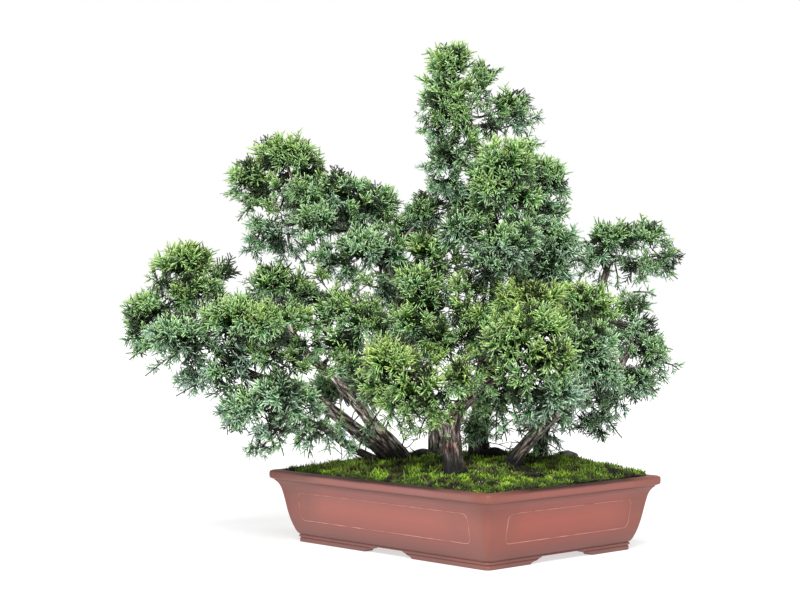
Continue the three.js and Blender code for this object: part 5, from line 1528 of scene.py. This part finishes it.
def make_spray(seed, shoots, flare, reach, forks=3, rings=2):
    """A stem with side shoots to its left and right, the lowest of which fork again."""
    random = np.random.default_rng(seed)
    spray = ([], [], [], [])
    axis = Vector((0, 0, 1))
    stem_bend = Vector(random.normal(0, 0.14, 3))
    shade = random.uniform(0, 1)
    add_shoot(spray, (0, 0, 0), axis, stem_bend, SPRAY_LENGTH, SHOOT_RADIUS, (0.0, 1.0), 4, shade)
    for number in range(shoots):
        share = 0.2 + 0.62 * number / shoots + random.uniform(0, 0.1)
        turn = math.pi * number + random.normal(0, 0.75)
        tilt = flare * random.uniform(0.75, 1.3)
        sideways = Vector((math.cos(turn), math.sin(turn), 0))
        heading = axis * math.cos(tilt) + sideways * math.sin(tilt)
        bend = axis * 0.3 + Vector(random.normal(0, 0.15, 3))
        length = reach * (1 - 0.45 * share) * random.uniform(0.8, 1.25)
        root = axis * SPRAY_LENGTH * share + stem_bend * SPRAY_LENGTH * share ** 2
        shade = random.uniform(0, 1)
        add_shoot(spray, root, heading, bend, length, SHOOT_RADIUS * 0.95, (share * 0.5, 1.0), rings, shade)
        if number < forks:
            fork = root + heading * length * 0.45
            aside = Vector((-sideways.y, sideways.x, 0)) * random.choice((-0.8, 0.8))
            way = heading + aside
            radius = SHOOT_RADIUS * 0.9
            add_shoot(spray, fork, way, axis * 0.2, length * 0.55, radius, (0.4, 1.0), 2, shade)
    return spray


dense_kinds = [make_spray(seed, 6, 0.9, 13) for seed in range(6)]
open_kinds = [make_spray(seed, 5, 1.0, 12.5) for seed in range(20, 23)]
inner_kinds = [make_spray(seed, 6, 0.9, 13, forks=0) for seed in range(30, 32)]
juniper_sprays = sprig_kinds("juniper_spray", dense_kinds + open_kinds + inner_kinds)

# Sets a spray on each root, along its heading, in its size, and turned at random about its own stem.
spray_tree, given = new_tree("sprays_on_roots", "Roots", ())
heading, size, kind = [
    add_node(spray_tree, "GeometryNodeInputNamedAttribute", {"Name": name}, data_type=sort).outputs[0]
    for name, sort in [("heading", "FLOAT_VECTOR"), ("size", "FLOAT"), ("kind", "INT")]
]
set_sprigs(spray_tree, given, given["Roots"], heading, kind, size, given["Seed"])

# Juniper scale leaves: waxy, so they have a soft sheen. Shoots are pale at their growing tips, which is
# partly new growth and partly a painted highlight, and dark at the foot, which is painted shade. They are
# yellow-green where they are fresh and blue-green in the shade: tufts that face up are drawn fresher and
# tufts that face down bluer, as painted light and shade. Sprays deep in a pad are nearly black, which is
# painted shade.
scale_leaves, tree = new_material("juniper_scale_leaves")
tip, shade, tone, lift, fresh, depth = [
    add_node(tree, "ShaderNodeAttribute", attribute_name=name).outputs["Fac"]
    for name in ("tip", "shade", "tone", "lift", "fresh", "depth")
]
# Painted light: tufts that face up are drawn fresher, on top of each pad's own freshness and the random tone.
lifted = add_node(tree, "ShaderNodeMath", {0: lift, 1: 0.28, 2: fresh}, operation="MULTIPLY_ADD")
varied = add_node(tree, "ShaderNodeMath", {0: tone, 1: 0.4, 2: lifted.outputs[0]}, operation="MULTIPLY_ADD")
growth_and_light = add_node(tree, "ShaderNodeMath", {
    0: varied.outputs[0], 1: 0.2,
}, operation="SUBTRACT", use_clamp=True)
# From blue-green growth to yellow-green growth: a shoot's body, and its tip.
body_colour = add_node(tree, "ShaderNodeValToRGB", {"Fac": growth_and_light.outputs[0]}, stops=[
    (0, "#4d8460"), (1 / 3, "#478c40"), (2 / 3, "#559830"), (1, "#6fa02a"),
])
tip_colour = add_node(tree, "ShaderNodeValToRGB", {"Fac": growth_and_light.outputs[0]}, stops=[
    (0, "#c6dec8"), (1 / 3, "#bedcae"), (2 / 3, "#c0dc96"), (1, "#cce088"),
])
# Painted shade at a shoot's foot, and a pale tip that is partly a painted highlight.
foot_share = add_node(tree, "ShaderNodeMapRange", {"Value": tip, "From Max": 0.5})
tip_share = add_node(tree, "ShaderNodeMapRange", {"Value": tip, "From Min": 0.35, "From Max": 1.05})
lower = add_node(tree, "ShaderNodeMix", {
    0: foot_share.outputs[0], 6: linear("#193a08"), 7: body_colour.outputs[0],
}, data_type="RGBA")
cord = add_node(tree, "ShaderNodeMix", {
    0: tip_share.outputs[0], 6: lower.outputs[2], 7: tip_colour.outputs[0],
}, data_type="RGBA")
# Painted shade: sprays deep in a pad are drawn nearly black.
inner = add_node(tree, "ShaderNodeMapRange", {
    "Value": depth, "From Min": 0.05, "From Max": 0.75, "To Max": 0.93,
})
shadow = add_node(tree, "ShaderNodeMix", {
    0: inner.outputs[0], 6: cord.outputs[2], 7: linear("#10200a"),
}, data_type="RGBA")
brightness = add_node(tree, "ShaderNodeMapRange", {"Value": shade, "To Min": 0.82, "To Max": 1.58})
leaf = add_node(tree, "ShaderNodeHueSaturation", {
    "Color": shadow.outputs[2], "Value": brightness.outputs[0],
})
shader = add_node(tree, "ShaderNodeBsdfPrincipled", {
    "Base Color": leaf.outputs[0], "Roughness": 0.42, "Specular IOR Level": 0.5,
})
add_node(tree, "ShaderNodeOutputMaterial", {"Surface": shader.outputs[0]})

OUTER_KINDS = len(dense_kinds) + len(open_kinds)
SPRAYS_PER_TUFT = (7, 10)
# Inner sprays count as deep in their pad: the leaves' material paints them nearly black, as painted shade.
INNER_SUNK = 0.75
SMALLEST_SPRAY, LARGEST_SPRAY = 0.5, 1.15
ROOT_SPREAD = 3.6
MIDDLE_DEPTH = 17
SMALLEST_MIDDLE = 4


def tuft_roots(tufts, random):
    """The roots of a pad's sprays: places, headings, sizes, depths, kinds, how far they face up, tones."""
    found = []
    for place, way_out, _, depth, is_inner in tufts:
        count = random.integers(*SPRAYS_PER_TUFT)
        up = 0.4 if way_out[2] > -0.2 else 0.0
        lead = unit(way_out + np.array([0, 0, up]) + random.normal(0, 0.25, 3))
        tone = random.uniform(0, 1)
        for _ in range(count):
            heading = unit(lead + random.normal(0, 0.5, 3))
            along = float(heading @ lead)
            size = depth / TUFT_DEPTH * (0.72 + 0.3 * max(0, along)) * random.uniform(0.85, 1.15)
            size = max(SMALLEST_SPRAY, min(LARGEST_SPRAY, size if not is_inner else 1.0))
            root = place + random.normal(0, ROOT_SPREAD, 3) + lead * random.uniform(-4, 6)
            if is_inner:
                sunk = INNER_SUNK
                kind = random.integers(0, len(inner_kinds)) + OUTER_KINDS
            else:
                sunk = random.uniform(0, 0.35)
                kind = random.integers(0, OUTER_KINDS)
            found.append((root, heading, size, sunk, kind, way_out[2], tone))
    return [np.array(column) for column in zip(*found)]


def set_sprays(name, columns, freshness, random, seed):
    """A piece of foliage with a spray on each root."""
    place, heading, size, depth, kind, lift, tone = columns
    mesh = bpy.data.meshes.new(name)
    mesh.from_pydata([tuple(point) for point in to_model(place)], [], [])
    aim = heading @ tree_axes
    tone = 0.5 * tone + random.uniform(0, 0.5, len(place))
    fresh = freshness + random.normal(0, 0.08, len(place))
    mesh.attributes.new("heading", "FLOAT_VECTOR", "POINT").data.foreach_set("vector", aim.ravel())
    mesh.attributes.new("kind", "INT", "POINT").data.foreach_set("value", kind.astype(int).tolist())
    keep_numbers(mesh, size=size, depth=depth, lift=lift, tone=tone, fresh=fresh)
    return grown(name, mesh, spray_tree, {"Sprigs": juniper_sprays, "Finish": scale_leaves, "Seed": seed})


def middle_radii(lobe):
    """The radii of the dead middle of a lobe."""
    return np.array([lobe[3], lobe[3] * LOBE_DEPTH, lobe[4]]) - MIDDLE_DEPTH


def shaded_middles(name, lobes):
    """The dense, dark middle of each lobe: rough balls that are painted shade inside the pad, drawn as
    crowded twigs and dead leaves.
    """
    ball = bmesh.new()
    for lobe in lobes:
        radii = middle_radii(lobe)
        made = bmesh.ops.create_icosphere(ball, subdivisions=2, radius=1)
        for vertex in made["verts"]:
            lumps = 0.5 * noise.noise(vertex.co * 2.2 + Vector(lobe[:3]))
            rough = 1 + lumps + 0.3 * noise.noise(vertex.co * 7)
            vertex.co = Vector(to_model(np.array(lobe[:3]) + np.array(vertex.co) * radii * rough))
    mesh = bpy.data.meshes.new(name)
    ball.to_mesh(mesh)
    ball.free()
    mesh.materials.append(painted_shade_finish)
    piece = bpy.data.objects.new(name, mesh)
    scene.collection.objects.link(piece)
    return piece


# Painted shade in the middle of a pad, drawn as crowded twigs and dead leaves: green-black, with no sheen.
painted_shade_finish, tree = new_material("painted_shade_as_crowded_twigs")
where = add_node(tree, "ShaderNodeTexCoord").outputs["Object"]
mess = add_node(tree, "ShaderNodeTexNoise", {"Vector": where, "Scale": 420.0, "Detail": 3.0})
mess_colour = add_node(tree, "ShaderNodeValToRGB", {"Fac": mess.outputs["Fac"]}, stops=[
    (0.45, "#101a08"), (0.62, "#304a1c"),
])
shader = add_node(tree, "ShaderNodeBsdfDiffuse", {"Color": mess_colour.outputs[0]})
add_node(tree, "ShaderNodeOutputMaterial", {"Surface": shader.outputs[0]})

for seed, (pad, (_, freshness, lobes)) in enumerate(PADS.items()):
    random = np.random.default_rng(100 + seed)
    thick_lobes = [lobe for lobe in lobes if middle_radii(lobe).min() >= SMALLEST_MIDDLE]
    if thick_lobes and pad not in OPEN_PADS:
        middles = shaded_middles(f"{pad}_middle", thick_lobes)
        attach(middles, "root")
    columns = tuft_roots(pad_tufts[pad], random)
    if loose_roots[pad]:
        place, heading, size = [np.array(column) for column in zip(*loose_roots[pad])]
        count = len(place)
        kind = random.integers(len(dense_kinds), OUTER_KINDS, count)
        sunk = random.uniform(0, 0.3, count)
        extra = (place, heading, size, sunk, kind, np.zeros(count), random.uniform(0, 1, count))
        columns = [np.concatenate(pair) for pair in zip(columns, extra)]
    foliage = set_sprays(f"{pad}_foliage", columns, freshness, random, seed)
    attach(foliage, "root")
    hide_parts(pad)
put_away(juniper_sprays)
